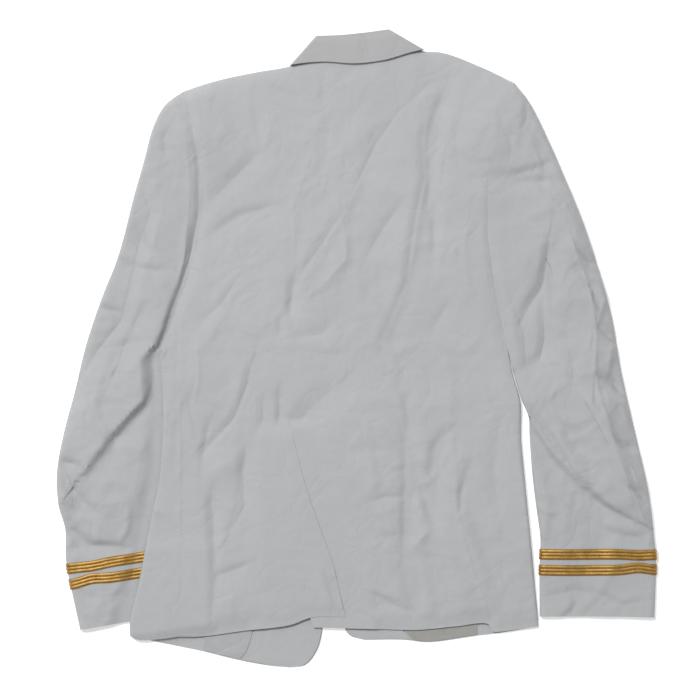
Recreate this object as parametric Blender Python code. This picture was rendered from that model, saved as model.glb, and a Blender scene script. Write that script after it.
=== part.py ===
# Naval service dress jacket, laid flat on its front with its back up.
# X runs across the garment, Y towards the collar, Z up from the surface it lies on.
# Plan sizes in the tables are in millimetres about the middle of the garment.
import math

import bpy
import numpy as np

MM = 0.001

# Cloth and layers
BACK_WALL = 1.8
FRONT_WALL = 1.6
SLEEVE_WALL = 1.6
COLLAR_WALL = 1.4
TRIM_WALL = 0.9
SEAM_GAP = 0.3
LAYER_GAP = 0.5

# Heights of what lies under each layer
LOFT = 8.8
SLEEVE_UNDER_BODY = 4.8
BODY_OVER_SLEEVE = 6.6
BUTTON_RISE = 2.7
LAPEL_RISE = 1.6
UNDERLAP_TOP = 9.4
UNDERLAP_FALL = 3.0
FRONT_LAP_ROOM = 0.3
HEM_INSIDES = 1.8
SHOULDER_ROUND = 16.0

# Room at the armholes, where the front's seam meets them, and the rounding of folded edges
ARMHOLE_ROOM = 0.6
FRONT_ARMHOLE_ROOM = 1.6
FRONT_SEAM_SHARE = 0.84
EDGE_ROUND = 7.0
SIDE_EDGE_ROUND = 4.5

# Facing and lining inside each front's hem
HEM_TRIM_ROWS = 5
HEM_TRIM_SPLIT = {"left": 3, "right": 4}
HEM_TRIM_INSET = 1.2
LINING_WALL = 0.7

# Collar: heights above the loft, and the drop at its rolled edge
COLLAR_RISE = 5.4
COLLAR_ROLL_DROP = 1.8
COLLAR_ROLL_WIDTH = 9.0
COLLAR_ROUND = 3.5
STAND_RISE = 2.7

# Lapels, which lie flat on the underside
LAPEL_WALL = 1.1

# Gold lace on the cuffs, measured up the sleeve from the cuff's edge
LACE_ROWS = (("lower", 50.0, 62.5), ("upper", 69.0, 81.5))
CUFF_ZONE = 110.0

# Buttons down the centre front
BUTTON_COUNT = 4
BUTTON_RADIUS = 11.0
BUTTON_HEIGHT = 2.3
BUTTON_TOP = (-20.0, 25.0)
BUTTON_PITCH = 62.0
BUTTON_BEVEL = 0.5

# Rows and columns of each panel's mesh
ROWS_ARMHOLE = 11
ROWS_WAIST = 7
ROWS_SKIRT = 10
BACK_COLUMNS = 11
FRONT_COLUMNS = 7
SLEEVE_ROWS = 21

# Seams and edges in plan: each row is one line, through the points that its shape needs
LINES = {
    "neck_left": ((-62, 346), (-34, 355), (2, 358)),
    "neck_right": ((64, 361), (38, 361), (2, 358)),
    "shoulder_left": ((-208, 309), (-170, 321), (-119, 332), (-84, 338), (-62, 346)),
    "shoulder_right": ((190, 319), (145, 340), (104, 355), (80, 357), (64, 361)),
    "armhole_left": ((-208, 309), (-200, 277), (-191, 232), (-185, 190), (-188, 148), (-202, 88), (-217, 49)),
    "underarm_left": ((-217, 49), (-226, 22), (-237, -2)),
    "armhole_right": ((190, 319), (178, 292), (166, 244), (157, 208), (155, 160), (160, 104), (167, 58)),
    "underarm_right": ((167, 58), (173, 28), (181, 4)),
    "side_seam_left_waist": ((-217, 49), (-214, -14), (-211, -62), (-210, -116)),
    "side_seam_left_skirt": ((-210, -116), (-210, -230), (-212, -290), (-214, -346)),
    "edge_left_waist": ((-237, -2), (-233, -50), (-233, -111)),
    "edge_left_skirt": ((-233, -111), (-237, -158), (-247, -206), (-262, -284), (-272, -328), (-272, -345)),
    "side_seam_right_waist": ((167, 58), (173, -14), (177, -62), (177, -111)),
    "side_seam_right_skirt": ((177, -111), (175, -182), (173, -236), (176, -296), (175, -340)),
    "edge_right_waist": ((181, 4), (188, -32), (197, -64), (198, -110)),
    "edge_right_skirt": ((198, -110), (203, -164), (209, -224), (214, -278), (218, -320), (219, -334)),
    "centre_back_armhole": ((2, 358), (-5, 274), (-20, 190), (-41, 124), (-62, 58)),
    "centre_back_waist": ((-62, 58), (-76, -14), (-83, -68), (-75, -111)),
    "vent_edge": ((-75, -111), (-67, -143), (-55, -184), (-38, -231), (-27, -263), (-20, -295), (-13, -322)),
    "underlap": ((-103, -126), (-82, -218), (-65, -290), (-52, -335)),
    "hem_back_left": ((-214, -346), (-188, -346), (-134, -339), (-80, -332), (-54, -323), (-13, -322)),
    "hem_back_right": (
        (175, -340), (164, -340), (158, -331), (118, -334), (74, -338), (22, -337), (-52, -335),
    ),
    "hem_side_left": ((-272, -345), (-262, -350), (-236, -349), (-214, -346)),
    "hem_side_right": ((219, -334), (197, -337), (175, -340)),
    "front_seam_left_waist": ((-202, 90), (-194, 22), (-184, -62), (-181, -116)),
    "front_seam_left_skirt": ((-181, -116), (-181, -230), (-184, -364)),
    "front_seam_right_waist": ((160, 102), (155, 22), (148, -62), (145, -111)),
    "front_seam_right_skirt": ((145, -111), (145, -230), (146, -345)),
    "hem_under_left": ((-272, -345), (-243, -352), (-184, -364)),
    "hem_under_right": ((219, -334), (172, -342), (146, -345)),
    "hem_front_left": ((-184, -364), (-139, -375), (-104, -381), (-80, -383)),
    "hem_front_right": ((146, -345), (86, -353), (58, -350), (10, -350)),
    "roll_left": ((-62, 346), (-52, 280), (-8, 58)),
    "roll_right": ((64, 361), (50, 280), (-32, 58)),
    "front_edge_left_waist": ((-8, 58), (-5, -30), (-5, -111)),
    "front_edge_left_skirt": (
        (-5, -111), (-20, -218), (-37, -290), (-41, -340), (-47, -362), (-61, -380), (-80, -383),
    ),
    "front_edge_right_waist": ((-32, 58), (-35, -30), (-36, -111)),
    "front_edge_right_skirt": ((-36, -111), (-32, -218), (-19, -290), (-14, -337), (-8, -345), (10, -350)),
    "sleeve_left_outer": (
        (-208, 309), (-230, 292), (-244, 266), (-255, 226), (-267, 184), (-286, 112), (-307, 58), (-325, 4),
        (-338, -50), (-352, -104), (-360, -150), (-358, -188), (-350, -218), (-349, -254), (-332, -338),
    ),
    "sleeve_left_inner": ((-237, -2), (-221, -62), (-206, -146), (-197, -230), (-195, -316)),
    "cuff_left": ((-332, -338), (-290, -331), (-195, -316)),
    "sleeve_right_outer": (
        (190, 319), (208, 295), (232, 247), (249, 208), (272, 152), (295, 82), (307, 37), (319, -32),
        (337, -110), (351, -173), (358, -230), (360, -254), (358, -323),
    ),
    "sleeve_right_inner": (
        (183, 4), (191, -32), (200, -62), (208, -83), (209, -104), (212, -152), (217, -196), (221, -228),
        (220, -266), (220, -322),
    ),
    "cuff_right": ((358, -323), (300, -322), (220, -322)),
    "collar_roll": ((-49, 375), (-20, 376), (10, 379), (40, 383)),
    "collar_lower": ((-80, 340), (-59, 343), (-38, 344), (-2, 342), (33, 346), (64, 355), (81, 359)),
}

# Swells of the whole garment: middle, radii and height
SWELLS = (
    # name, x, y, radius_x, radius_y, height
    ("centre front stack", -20, -60, 90, 250, 3.0),
    ("shoulder pad left", -196, 262, 50, 58, 9.0),
    ("shoulder pad right", 172, 268, 50, 58, 9.0),
    ("upper sleeve left", -242, 120, 34, 110, 4.5),
    ("upper sleeve right", 236, 110, 38, 130, 4.5),
    ("elbow left", -318, -95, 36, 70, 4.0),
    ("elbow right", 285, -80, 40, 80, 4.0),
    ("cuff left", -270, -300, 80, 45, -2.2),
    ("cuff right", 285, -300, 80, 45, -2.2),
    ("side left", -222, -60, 16, 80, 1.6),
    ("side right", 186, -30, 14, 70, 1.6),
)

# The largest folds: route, width of the face on each side of it, and height (a trough is negative)
FOLDS = (
    # name, route, width left of the route, width right of it, height
    ("long shadow fold", ((110, 312), (98, 272), (92, 226), (88, 184)), 7, 16, -3.2),
    ("long fold beside it", ((86, 214), (76, 178), (66, 112), (52, 60), (34, 16)), 6, 18, 2.6),
    ("right blade fold", ((97, 178), (93, 130), (91, 88)), 6, 14, -2.2),
    ("shoulder to middle ridge", ((-74, 70), (-44, 118), (-20, 156), (-4, 192), (12, 240)), 20, 8, 2.4),
    ("middle crease", ((-74, 136), (-75, 82), (-78, 52), (-74, 36)), 6, 9, -2.4),
    ("lower middle crease", ((-70, 14), (-44, 20), (-30, 36), (-18, 46)), 12, 6, -1.6),
    ("upper left diagonal", ((-188, 168), (-150, 200), (-128, 222), (-118, 250)), 14, 10, -1.8),
    ("left blade diagonal", ((-172, 140), (-140, 160), (-100, 168)), 7, 14, -1.8),
    ("left waist diagonal", ((-185, 4), (-160, 42), (-146, 76)), 14, 8, 1.8),
    ("left hip ridge", ((-188, -136), (-162, -110), (-144, -80), (-138, -30)), 8, 16, 2.4),
    ("left hip second ridge", ((-176, -152), (-150, -136), (-128, -116)), 9, 12, 2.0),
    ("left tail dart", ((-97, -116), (-110, -146), (-120, -170), (-136, -194), (-150, -214)), 18, 8, 2.6),
    ("left tail trough", ((-172, -188), (-176, -218), (-175, -254)), 9, 7, -2.4),
    ("lower left crease", ((-132, -118), (-132, -168)), 6, 8, -2.0),
    ("waist crease at the vent", ((-88, -76), (-90, -106), (-78, -128)), 7, 7, -2.6),
    ("vent swell", ((-8, -72), (-50, -108), (-40, -160)), 16, 16, 1.8),
    ("vent foot fold", ((-22, -282), (-4, -286), (14, -298), (46, -306)), 6, 14, -2.0),
    ("right middle trough", ((62, -110), (62, -180), (61, -250), (70, -300), (74, -334)), 9, 12, -2.4),
    ("right tail dart", ((84, -172), (92, -200), (96, -214)), 10, 7, -2.4),
    ("right hip dart", ((114, -118), (102, -136), (94, -150)), 8, 12, -2.0),
    ("right overlap fold",
     ((122, -142), (121, -178), (120, -204), (134, -244), (146, -284), (160, -330)), 5, 20, -3.0),
    ("right overlap crown", ((104, -214), (116, -250), (128, -290), (140, -328)), 18, 12, 1.8),
    ("left sleeve elbow fold",
     ((-238, -10), (-256, -52), (-278, -82), (-305, -112), (-327, -147)), 4, 34, 5.0),
    ("left sleeve inner trough",
     ((-232, -30), (-246, -66), (-268, -94), (-296, -124), (-322, -152)), 12, 5, -3.4),
    ("left elbow crease", ((-356, -144), (-350, -166), (-336, -182), (-322, -194)), 8, 6, -3.0),
    ("left elbow lower fold", ((-349, -212), (-332, -230), (-310, -240), (-286, -238)), 7, 12, -2.6),
    ("right sleeve elbow fold", ((210, -86), (236, -124), (266, -158), (298, -184), (336, -206)), 34, 4, 5.0),
    ("right sleeve inner trough",
     ((206, -96), (232, -134), (262, -168), (294, -192), (326, -208)), 5, 14, -3.2),
    ("right outer ridge", ((278, -66), (296, -92), (312, -136), (326, -176), (346, -204)), 10, 7, 3.0),
    ("right sleeve shadow", ((244, 136), (230, 100), (220, 82), (202, 42)), 10, 8, -3.4),
    ("right sleeve upright fold", ((228, 84), (226, 4), (220, -18)), 7, 12, -2.6),
    ("right sleeve head crease", ((172, 202), (206, 202), (234, 202)), 8, 8, -1.8),
    ("right sleeve head ridge", ((226, 186), (244, 160), (262, 132)), 7, 9, 2.4),
    ("left sleeve head crease", ((-262, 150), (-258, 128), (-246, 110)), 8, 8, -2.4),
    ("left armhole groove", ((-194, 140), (-200, 96), (-216, 52), (-236, 0)), 12, 9, -3.2),
    ("right armhole groove", ((160, 104), (168, 50), (182, -2), (198, -62)), 7, 10, -2.4),
)

COLOURS = {
    "cloth": (0.72, 0.72, 0.71, 0.85, 0.0),
    "lining": (0.62, 0.62, 0.61, 0.6, 0.0),
    "lace": (0.62, 0.42, 0.13, 0.4, 0.8),
    "button": (0.75, 0.55, 0.2, 0.3, 1.0),
}


def smooth_step(value):
    t = np.clip(value, 0.0, 1.0)
    return t * t * (3 - 2 * t)


def dense_line(points):
    """A smooth line through the points, closely sampled, with each sample's share of its length."""
    points = np.array(points, float)
    if len(points) == 2:
        fine = points[0] + np.linspace(0, 1, 60)[:, None] * (points[1] - points[0])
    else:
        step = np.sqrt(np.linalg.norm(np.diff(points, axis=0), axis=1))
        knots = np.concatenate([[0], np.cumsum(step)])
        slope = np.gradient(points, knots, axis=0, edge_order=1)
        at = np.linspace(0, knots[-1], 50 * len(points))
        span = np.clip(np.searchsorted(knots, at, side="right") - 1, 0, len(points) - 2)
        width = (knots[span + 1] - knots[span])[:, None]
        t = ((at - knots[span]) / width[:, 0])[:, None]
        fine = (
            (2 * t**3 - 3 * t**2 + 1) * points[span]
            + (t**3 - 2 * t**2 + t) * width * slope[span]
            + (3 * t**2 - 2 * t**3) * points[span + 1]
            + (t**3 - t**2) * width * slope[span + 1]
        )
    run = np.concatenate([[0], np.cumsum(np.linalg.norm(np.diff(fine, axis=0), axis=1))])
    return fine, run


DENSE = {name: dense_line(points) for name, points in LINES.items()}


def read_line(line, share):
    """Points of a sampled line at these shares of its length."""
    fine, run = line
    at = np.asarray(share, float) * run[-1]
    return np.stack([np.interp(at, run, fine[:, 0]), np.interp(at, run, fine[:, 1])], axis=-1)


def along(name, share):
    """Points of a named line at these shares of its length."""
    return read_line(DENSE[name], share)


def along_both(first, second, share):
    """Points of two named lines read as one, at these shares of their whole length."""
    split = DENSE[first][1][-1] / (DENSE[first][1][-1] + DENSE[second][1][-1])
    share = np.asarray(share, float)[..., None]
    start = along(first, np.clip(share[..., 0] / split, 0, 1))
    end = along(second, np.clip((share[..., 0] - split) / (1 - split), 0, 1))
    return np.where(share <= split, start, end)


def x_of_line(name, y):
    """The x of a line that runs down the garment, at each y."""
    fine, _ = DENSE[name]
    order = np.argsort(fine[:, 1])
    return np.interp(y, fine[order, 1], fine[order, 0])


def distance_to(route, x, y):
    """Signed distance to a polyline (positive on the left of its direction) and how far along it, 0 to 1."""
    route = np.array(route, float)
    lengths = np.linalg.norm(np.diff(route, axis=0), axis=1)
    starts = np.concatenate([[0], np.cumsum(lengths)])
    best = np.full(np.shape(x), 1e9)
    signed = np.zeros(np.shape(x))
    share = np.zeros(np.shape(x))
    for i, length in enumerate(lengths):
        (ax, ay), (bx, by) = route[i], route[i + 1]
        ux, uy = (bx - ax) / length, (by - ay) / length
        run = (x - ax) * ux + (y - ay) * uy
        held = np.clip(run, 0, length)
        off = np.hypot(x - ax - held * ux, y - ay - held * uy)
        side = np.where((x - ax) * -uy + (y - ay) * ux >= 0, 1.0, -1.0)
        nearer = off < best
        best = np.where(nearer, off, best)
        signed = np.where(nearer, off * side, signed)
        share = np.where(nearer, (starts[i] + held) / starts[-1], share)
    return signed, share


def folds_height(x, y):
    height = np.zeros(np.shape(x))
    for _, route, left, right, tall in FOLDS:
        signed, share = distance_to(route, x, y)
        width = np.where(signed > 0, left, right)
        taper = np.sin(np.pi * np.clip(0.08 + 0.84 * share, 0, 1)) ** 0.6
        height += tall * taper * np.exp(-((signed / width) ** 2))
    return height


def capsule(start, end, full, fade, x, y):
    """1 within a distance of the line from start to end, falling to 0 over the fade."""
    signed, _ = distance_to((start, end), x, y)
    return 1 - smooth_step((np.abs(signed) - full) / fade)


def left_armhole_x(y):
    """The x of the left armhole, from the shoulder to its lowest point."""
    return np.where(y > 49, x_of_line("armhole_left", y), x_of_line("underarm_left", y))


def over_left_sleeve(x, y):
    """1 where the left forearm lies under the body."""
    sleeve_edge = np.where(y > -2, left_armhole_x(y), x_of_line("sleeve_left_inner", y))
    across = smooth_step((sleeve_edge + 34 - x) / 20)
    cuff = -338 + (x + 332) * 0.16
    return across * smooth_step((y - cuff + 34) / 20) * smooth_step((94 - y) / 36)


def front_support(x, y):
    """Height of what lies under the right front and both fronts' outer parts."""
    lapel_left = capsule((-30, 60), (-105, 350), 56, 30, x, y)
    lapel_right = capsule((-10, 60), (104, 350), 60, 30, x, y)
    buttons = capsule((-20, 40), (-20, -190), 28, 30, x, y)
    rise = np.maximum(LAPEL_RISE * np.maximum(lapel_left, lapel_right), BUTTON_RISE * buttons)
    return np.maximum(rise, BODY_OVER_SLEEVE * over_left_sleeve(x, y))


def front_overlap(x, y):
    """1 where the left front lies over the right front."""
    edge = np.interp(y, (-300, -218, -111, 58), (-19, -32, -36, -32))
    across = smooth_step((x - edge + 40) / 22)
    return across * smooth_step((y + 318) / 30) * smooth_step((128 - y) / 24)


def left_front_support(x, y):
    return front_support(x, y) + (FRONT_WALL + LAYER_GAP + FRONT_LAP_ROOM) * front_overlap(x, y)


def front_stack(x, y):
    """Height of the fronts with the facings and linings that lie on them near the hem."""
    return left_front_support(x, y) + FRONT_WALL + HEM_INSIDES * smooth_step((-222 - y) / 22)


def underlap_top(y):
    """Height of the right back where it lies under the left along the vent."""
    return UNDERLAP_TOP - UNDERLAP_FALL * smooth_step((-230 - y) / 90)


def body_top(x, y):
    """Height of the outer face of the back and side panels."""
    height = LOFT + folds_height(x, y)
    for _, mid_x, mid_y, radius_x, radius_y, tall in SWELLS:
        height = height + tall * np.exp(-(((x - mid_x) / radius_x) ** 2) - ((y - mid_y) / radius_y) ** 2)
    vent = smooth_step((-86 - y) / 20) * smooth_step((x + 130) / 18) * smooth_step((45 - x) / 30)
    lapped = (underlap_top(y) + LAYER_GAP + BACK_WALL) * vent
    needed = np.maximum(front_stack(x, y) + 3 * LAYER_GAP + BACK_WALL, lapped)
    height = np.maximum(height, needed)
    return shoulder_fall(x, y, height)


def shoulder_fall(x, y, height):
    """The back falls to the front along each shoulder's edge."""
    edge_height = front_support(x, y) + FRONT_WALL + LAYER_GAP + BACK_WALL
    near = np.full(np.shape(x), 1e9)
    for name in ("shoulder_left", "shoulder_right"):
        signed, _ = distance_to(LINES[name], x, y)
        near = np.minimum(near, np.abs(signed))
    share = np.clip(near / SHOULDER_ROUND, 0, 1)
    return edge_height + (height - edge_height) * np.sqrt(1 - (1 - share) ** 2)


def sleeve_top(x, y):
    """Height of the sleeves' outer face: the left forearm is pressed flat where the body lies on it."""
    height = LOFT + folds_height(x, y)
    for _, mid_x, mid_y, radius_x, radius_y, tall in SWELLS:
        height = height + tall * np.exp(-(((x - mid_x) / radius_x) ** 2) - ((y - mid_y) / radius_y) ** 2)
    height = np.maximum(height, 2 * SLEEVE_WALL + 3 * LAYER_GAP)
    edge = np.where(y > -2, left_armhole_x(y), x_of_line("edge_left_skirt", y))
    edge = np.where((y < -2) & (y > -111), x_of_line("edge_left_waist", y), edge)
    pressed = smooth_step((x - edge + 26) / 18) * smooth_step((112 - y) / 40) * (x < 0)
    return height + (SLEEVE_UNDER_BODY - height) * pressed


def coons(start, end, side_0, side_1, share_u, share_v):
    """Fills four edges: start and end are functions of u, side_0 and side_1 are rows of points."""
    v = share_v[:, None, None]
    u = share_u[..., None]
    corner = [side_0[0], side_1[0], side_0[-1], side_1[-1]]
    across = (1 - v) * start(share_u) + v * end(share_u)
    down = (1 - u) * side_0[:, None, :] + u * side_1[:, None, :]
    flat = (1 - v) * ((1 - u) * corner[0] + u * corner[1]) + v * ((1 - u) * corner[2] + u * corner[3])
    return across + down - flat


def row_shares(side):
    run = np.concatenate([[0], np.cumsum(np.linalg.norm(np.diff(side, axis=0), axis=1))])
    return run / run[-1]


EVERY = slice(None)
GRID_EDGES = (
    # the edge of a grid and the row or column beside it
    ((EVERY, 0), (EVERY, 1)),
    ((EVERY, -1), (EVERY, -2)),
    ((0, EVERY), (1, EVERY)),
    ((-1, EVERY), (-2, EVERY)),
)


def inset(grid, gap):
    """Moves the edges of a grid inwards, to leave room at the seams."""
    grid = grid.copy()
    for edge, inner in GRID_EDGES:
        way = grid[inner] - grid[edge]
        grid[edge] = grid[edge] + gap * way / np.linalg.norm(way, axis=-1, keepdims=True)
    return grid


def material(name):
    found = bpy.data.materials.get(name)
    if found:
        return found
    red, green, blue, roughness, metallic = COLOURS[name]
    made = bpy.data.materials.new(name)
    made.use_nodes = True
    shader = made.node_tree.nodes["Principled BSDF"]
    shader.inputs["Base Color"].default_value = (red, green, blue, 1)
    shader.inputs["Roughness"].default_value = roughness
    shader.inputs["Metallic"].default_value = metallic
    return made


def add_solid(name, points, faces, finish):
    mesh = bpy.data.meshes.new(name)
    mesh.from_pydata([tuple(p) for p in np.asarray(points) * MM], [], [tuple(f) for f in faces])
    mesh.materials.append(material(finish))
    mesh.validate()
    volume = sum_volume(np.asarray(points), faces)
    if volume < 0:
        mesh.flip_normals()
    mesh.shade_smooth()
    mesh.set_sharp_from_angle(angle=math.radians(50))
    obj = bpy.data.objects.new(name, mesh)
    bpy.context.scene.collection.objects.link(obj)
    return obj


def sum_volume(points, faces):
    faces = np.array(faces)
    a, b, c = points[faces[:, 0]], points[faces[:, 1]], points[faces[:, 2]]
    return float(np.einsum("ij,ij->i", a, np.cross(b, c)).sum())


def wall_solid(name, outer, inner, finish, ring=False):
    """A closed wall between two grids of points; a ring's last column meets its first."""
    rows, columns = outer.shape[:2]
    points = np.concatenate([outer.reshape(-1, 3), inner.reshape(-1, 3)])
    half = rows * columns
    spans = columns if ring else columns - 1
    faces = []

    def add(a, b, c, d):
        faces.append((a, b, c))
        faces.append((a, c, d))

    for j in range(rows - 1):
        for k in range(spans):
            n = (k + 1) % columns
            a, b = j * columns + k, j * columns + n
            c, d = (j + 1) * columns + n, (j + 1) * columns + k
            add(a, b, c, d)
            faces.append((half + a, half + c, half + b))
            faces.append((half + a, half + d, half + c))
    for k in range(spans):
        n = (k + 1) % columns
        last = (rows - 1) * columns
        add(k, half + k, half + n, n)
        add(last + n, half + last + n, half + last + k, last + k)
    if not ring:
        for j in range(rows - 1):
            a, d = j * columns, (j + 1) * columns
            add(a, d, half + d, half + a)
            add(a + columns - 1, half + a + columns - 1, half + d + columns - 1, d + columns - 1)
    return add_solid(name, points, faces, finish)


def panel(name, plan, height, wall, finish="cloth"):
    """A wall whose outer face has this height at each point of the plan."""
    top = height(plan[..., 0], plan[..., 1])
    outer = np.concatenate([plan, top[..., None]], axis=-1)
    inner = np.concatenate([plan, (top - wall)[..., None]], axis=-1)
    wall_solid(name, outer, inner, finish)
    return outer


def shares(count):
    return np.linspace(0, 1, count + 1)


def three_spans(armhole, waist, skirt):
    """Rows of points down three lines that follow each other."""
    upper = along(armhole, shares(ROWS_ARMHOLE))
    middle = along(waist, shares(ROWS_WAIST))[1:]
    lower = along(skirt, shares(ROWS_SKIRT))[1:]
    return np.concatenate([upper, middle, lower])


def back_panels():
    columns = np.tile(shares(BACK_COLUMNS), (ROWS_ARMHOLE + ROWS_WAIST + ROWS_SKIRT + 1, 1))
    side = three_spans("armhole_left", "side_seam_left_waist", "side_seam_left_skirt")
    centre = three_spans("centre_back_armhole", "centre_back_waist", "vent_edge")
    plan = coons(
        lambda u: along_both("shoulder_left", "neck_left", u),
        lambda u: along("hem_back_left", u),
        side, centre, columns, row_shares(side),
    )
    plan = inset(plan, SEAM_GAP)
    plan[:ROWS_ARMHOLE + 1, 0, 0] += ARMHOLE_ROOM
    panel("back_left", plan, body_top, BACK_WALL)

    side = three_spans("armhole_right", "side_seam_right_waist", "side_seam_right_skirt")
    centre[-ROWS_SKIRT:] = along("underlap", shares(ROWS_SKIRT - 1))
    plan = coons(
        lambda u: along_both("shoulder_right", "neck_right", u),
        lambda u: along("hem_back_right", u),
        side, centre, columns, row_shares(side),
    )

    def lapped_top(x, y):
        """The right back dips under the left along the vent."""
        near = smooth_step((x_of_line("vent_edge", y) + 42 - x) / 20) * smooth_step((-84 - y) / 18)
        return body_top(x, y) * (1 - near) + underlap_top(y) * near

    plan = inset(plan, SEAM_GAP)
    plan[:ROWS_ARMHOLE + 1, 0, 0] -= ARMHOLE_ROOM
    panel("back_right", plan, lapped_top, BACK_WALL)


def front_panels():
    total = ROWS_ARMHOLE + ROWS_WAIST + ROWS_SKIRT + 1
    columns = np.tile(shares(FRONT_COLUMNS), (total, 1))
    result = {}
    for side, support in (("left", left_front_support), ("right", front_support)):
        outer_side = np.concatenate([
            along(f"armhole_{side}", FRONT_SEAM_SHARE * shares(ROWS_ARMHOLE)),
            along(f"front_seam_{side}_waist", shares(ROWS_WAIST))[1:],
            along(f"front_seam_{side}_skirt", shares(ROWS_SKIRT))[1:],
        ])
        inner_side = three_spans(f"roll_{side}", f"front_edge_{side}_waist", f"front_edge_{side}_skirt")
        plan = coons(
            lambda u, s=side: along(f"shoulder_{s}", u),
            lambda u, s=side: along(f"hem_front_{s}", u),
            outer_side, inner_side, columns, row_shares(outer_side),
        )
        plan = inset(plan, SEAM_GAP)
        plan[:ROWS_ARMHOLE + 1, 0, 0] += FRONT_ARMHOLE_ROOM * (1 if side == "left" else -1)
        top = lambda x, y, s=support: s(x, y) + FRONT_WALL
        result[side] = panel(f"front_{side}", plan, top, FRONT_WALL)
    return result


def trim_over(name, surface, rows, columns, wall, finish):
    """A thin piece that lies on part of a panel, made from the panel's own points."""
    block = surface[rows, columns].copy()
    block[..., :2] = inset(block[..., :2], HEM_TRIM_INSET)
    lower, upper = block.copy(), block.copy()
    lower[..., 2] += LAYER_GAP
    upper[..., 2] += LAYER_GAP + wall
    wall_solid(name, upper, lower, finish)


def hem_insides(fronts):
    """Facing and lining show on the inside of each front below the back's hem."""
    rows = slice(-HEM_TRIM_ROWS, None)
    for side, surface in fronts.items():
        outside = slice(0, HEM_TRIM_SPLIT[side] + 1)
        inside = slice(HEM_TRIM_SPLIT[side], None)
        trim_over(f"lining_{side}", surface, rows, outside, LINING_WALL, "lining")
        trim_over(f"facing_{side}", surface, rows, inside, TRIM_WALL, "cloth")


def ring_strip(samples, side_0, side_1, start, end, low, high, wall):
    """Both faces of a strip of a flattened tube.

    Each sample: share across (or a function of the share down), offset, sine of its turn, side of the turn.
    """
    width = np.linalg.norm(side_1 - side_0, axis=1)
    rows = row_shares(side_0)
    share_u = np.empty((len(side_0), len(samples)))
    for k, (share, offset, _, _) in enumerate(samples):
        share_u[:, k] = (share(rows) if callable(share) else share) + offset / width
    plan = coons(start, end, side_0, side_1, share_u, rows)
    turn = np.array([s[2] for s in samples], float)
    base = low(plan[..., 0], plan[..., 1])
    top = high(plan[..., 0], plan[..., 1])
    edge_side = np.array([s[3] for s in samples])
    z = base + (top - base) * (0.5 + 0.5 * turn)
    inward = (side_1 - side_0) / width[:, None]
    cosine = np.sqrt(np.clip(1 - turn**2, 0, 1))
    way = np.zeros(plan.shape[:2] + (3,))
    way[..., :2] = inward[:, None, :] * (cosine * edge_side)[None, :, None]
    way[..., 2] = -turn[None, :]
    outer = np.concatenate([plan, z[..., None]], axis=-1)
    return outer, outer + wall * way


def turn_samples(at_side, start_up, width=EDGE_ROUND):
    """Samples round one edge of a flattened tube: side 0 or 1, going down from the top or up from below."""
    angles = np.radians([90, 45, 0, -45, -90] if start_up else [-90, -45, 0, 45, 90])
    sign = 1 if at_side == 0 else -1
    return [(float(at_side), sign * width * (1 - math.cos(a)), math.sin(a), sign) for a in angles]


def side_panels():
    for side, under_low in (("left", left_front_support), ("right", front_support)):
        edge = np.concatenate([
            along(f"edge_{side}_waist", shares(ROWS_WAIST)),
            along(f"edge_{side}_skirt", shares(ROWS_SKIRT))[1:],
        ])
        seam = np.concatenate([
            along(f"side_seam_{side}_waist", shares(ROWS_WAIST)),
            along(f"side_seam_{side}_skirt", shares(ROWS_SKIRT))[1:],
        ])
        front = np.concatenate([
            along(f"front_seam_{side}_waist", shares(ROWS_WAIST)),
            along(f"front_seam_{side}_skirt", shares(ROWS_SKIRT))[1:],
        ])
        hem_top = lambda u, s=side: along(f"hem_side_{s}", u)
        hem_low = lambda u, s=side: along(f"hem_under_{s}", u)
        arm_top = lambda u, s=side: along(f"underarm_{s}", 1 - u)
        arm_run = DENSE[f"armhole_{side}"][1][-1], DENSE[f"underarm_{side}"][1][-1]
        reach = 1 - FRONT_SEAM_SHARE * arm_run[0] / sum(arm_run)
        front[0] = along(f"armhole_{side}", FRONT_SEAM_SHARE)
        arm_low = lambda u, s=side, r=reach: along_both(f"armhole_{s}", f"underarm_{s}", 1 - r * u)
        top_part = [(1.0, 0.0, 1.0, 1), (0.66, 0.0, 1.0, 1), (0.36, 0.0, 1.0, 1)]
        turn = turn_samples(0, True, SIDE_EDGE_ROUND)
        low_part = [(0.3, 0.0, -1.0, 1), (0.65, 0.0, -1.0, 1), (1.0, 0.0, -1.0, 1)]
        upper_outer, upper_inner = ring_strip(
            top_part + turn[:3], edge, seam, arm_top, hem_top, under_low, body_top, BACK_WALL)
        lower_outer, lower_inner = ring_strip(
            turn[3:] + low_part, edge, front, arm_low, hem_low, under_low, body_top, BACK_WALL)
        lower_outer[0, 2:, 1] -= FRONT_ARMHOLE_ROOM
        lower_inner[0, 2:, 1] -= FRONT_ARMHOLE_ROOM
        upper_outer[0, :3, 1] -= ARMHOLE_ROOM
        upper_inner[0, :3, 1] -= ARMHOLE_ROOM
        outer = np.concatenate([upper_outer, lower_outer], axis=1)
        inner = np.concatenate([upper_inner, lower_inner], axis=1)
        outer, inner = seam_room(outer, inner)
        wall_solid(f"side_{side}", outer, inner, "cloth")


def seam_room(outer, inner):
    """Draws the end rows and columns of a wall in from its seams, both faces alike."""
    outer, inner = outer.copy(), inner.copy()
    for edge, near in GRID_EDGES:
        way = outer[near][..., :2] - outer[edge][..., :2]
        shift = SEAM_GAP * way / np.maximum(np.linalg.norm(way, axis=-1, keepdims=True), 1e-6)
        outer[edge][..., :2] += shift
        inner[edge][..., :2] += shift
    return outer, inner


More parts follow.
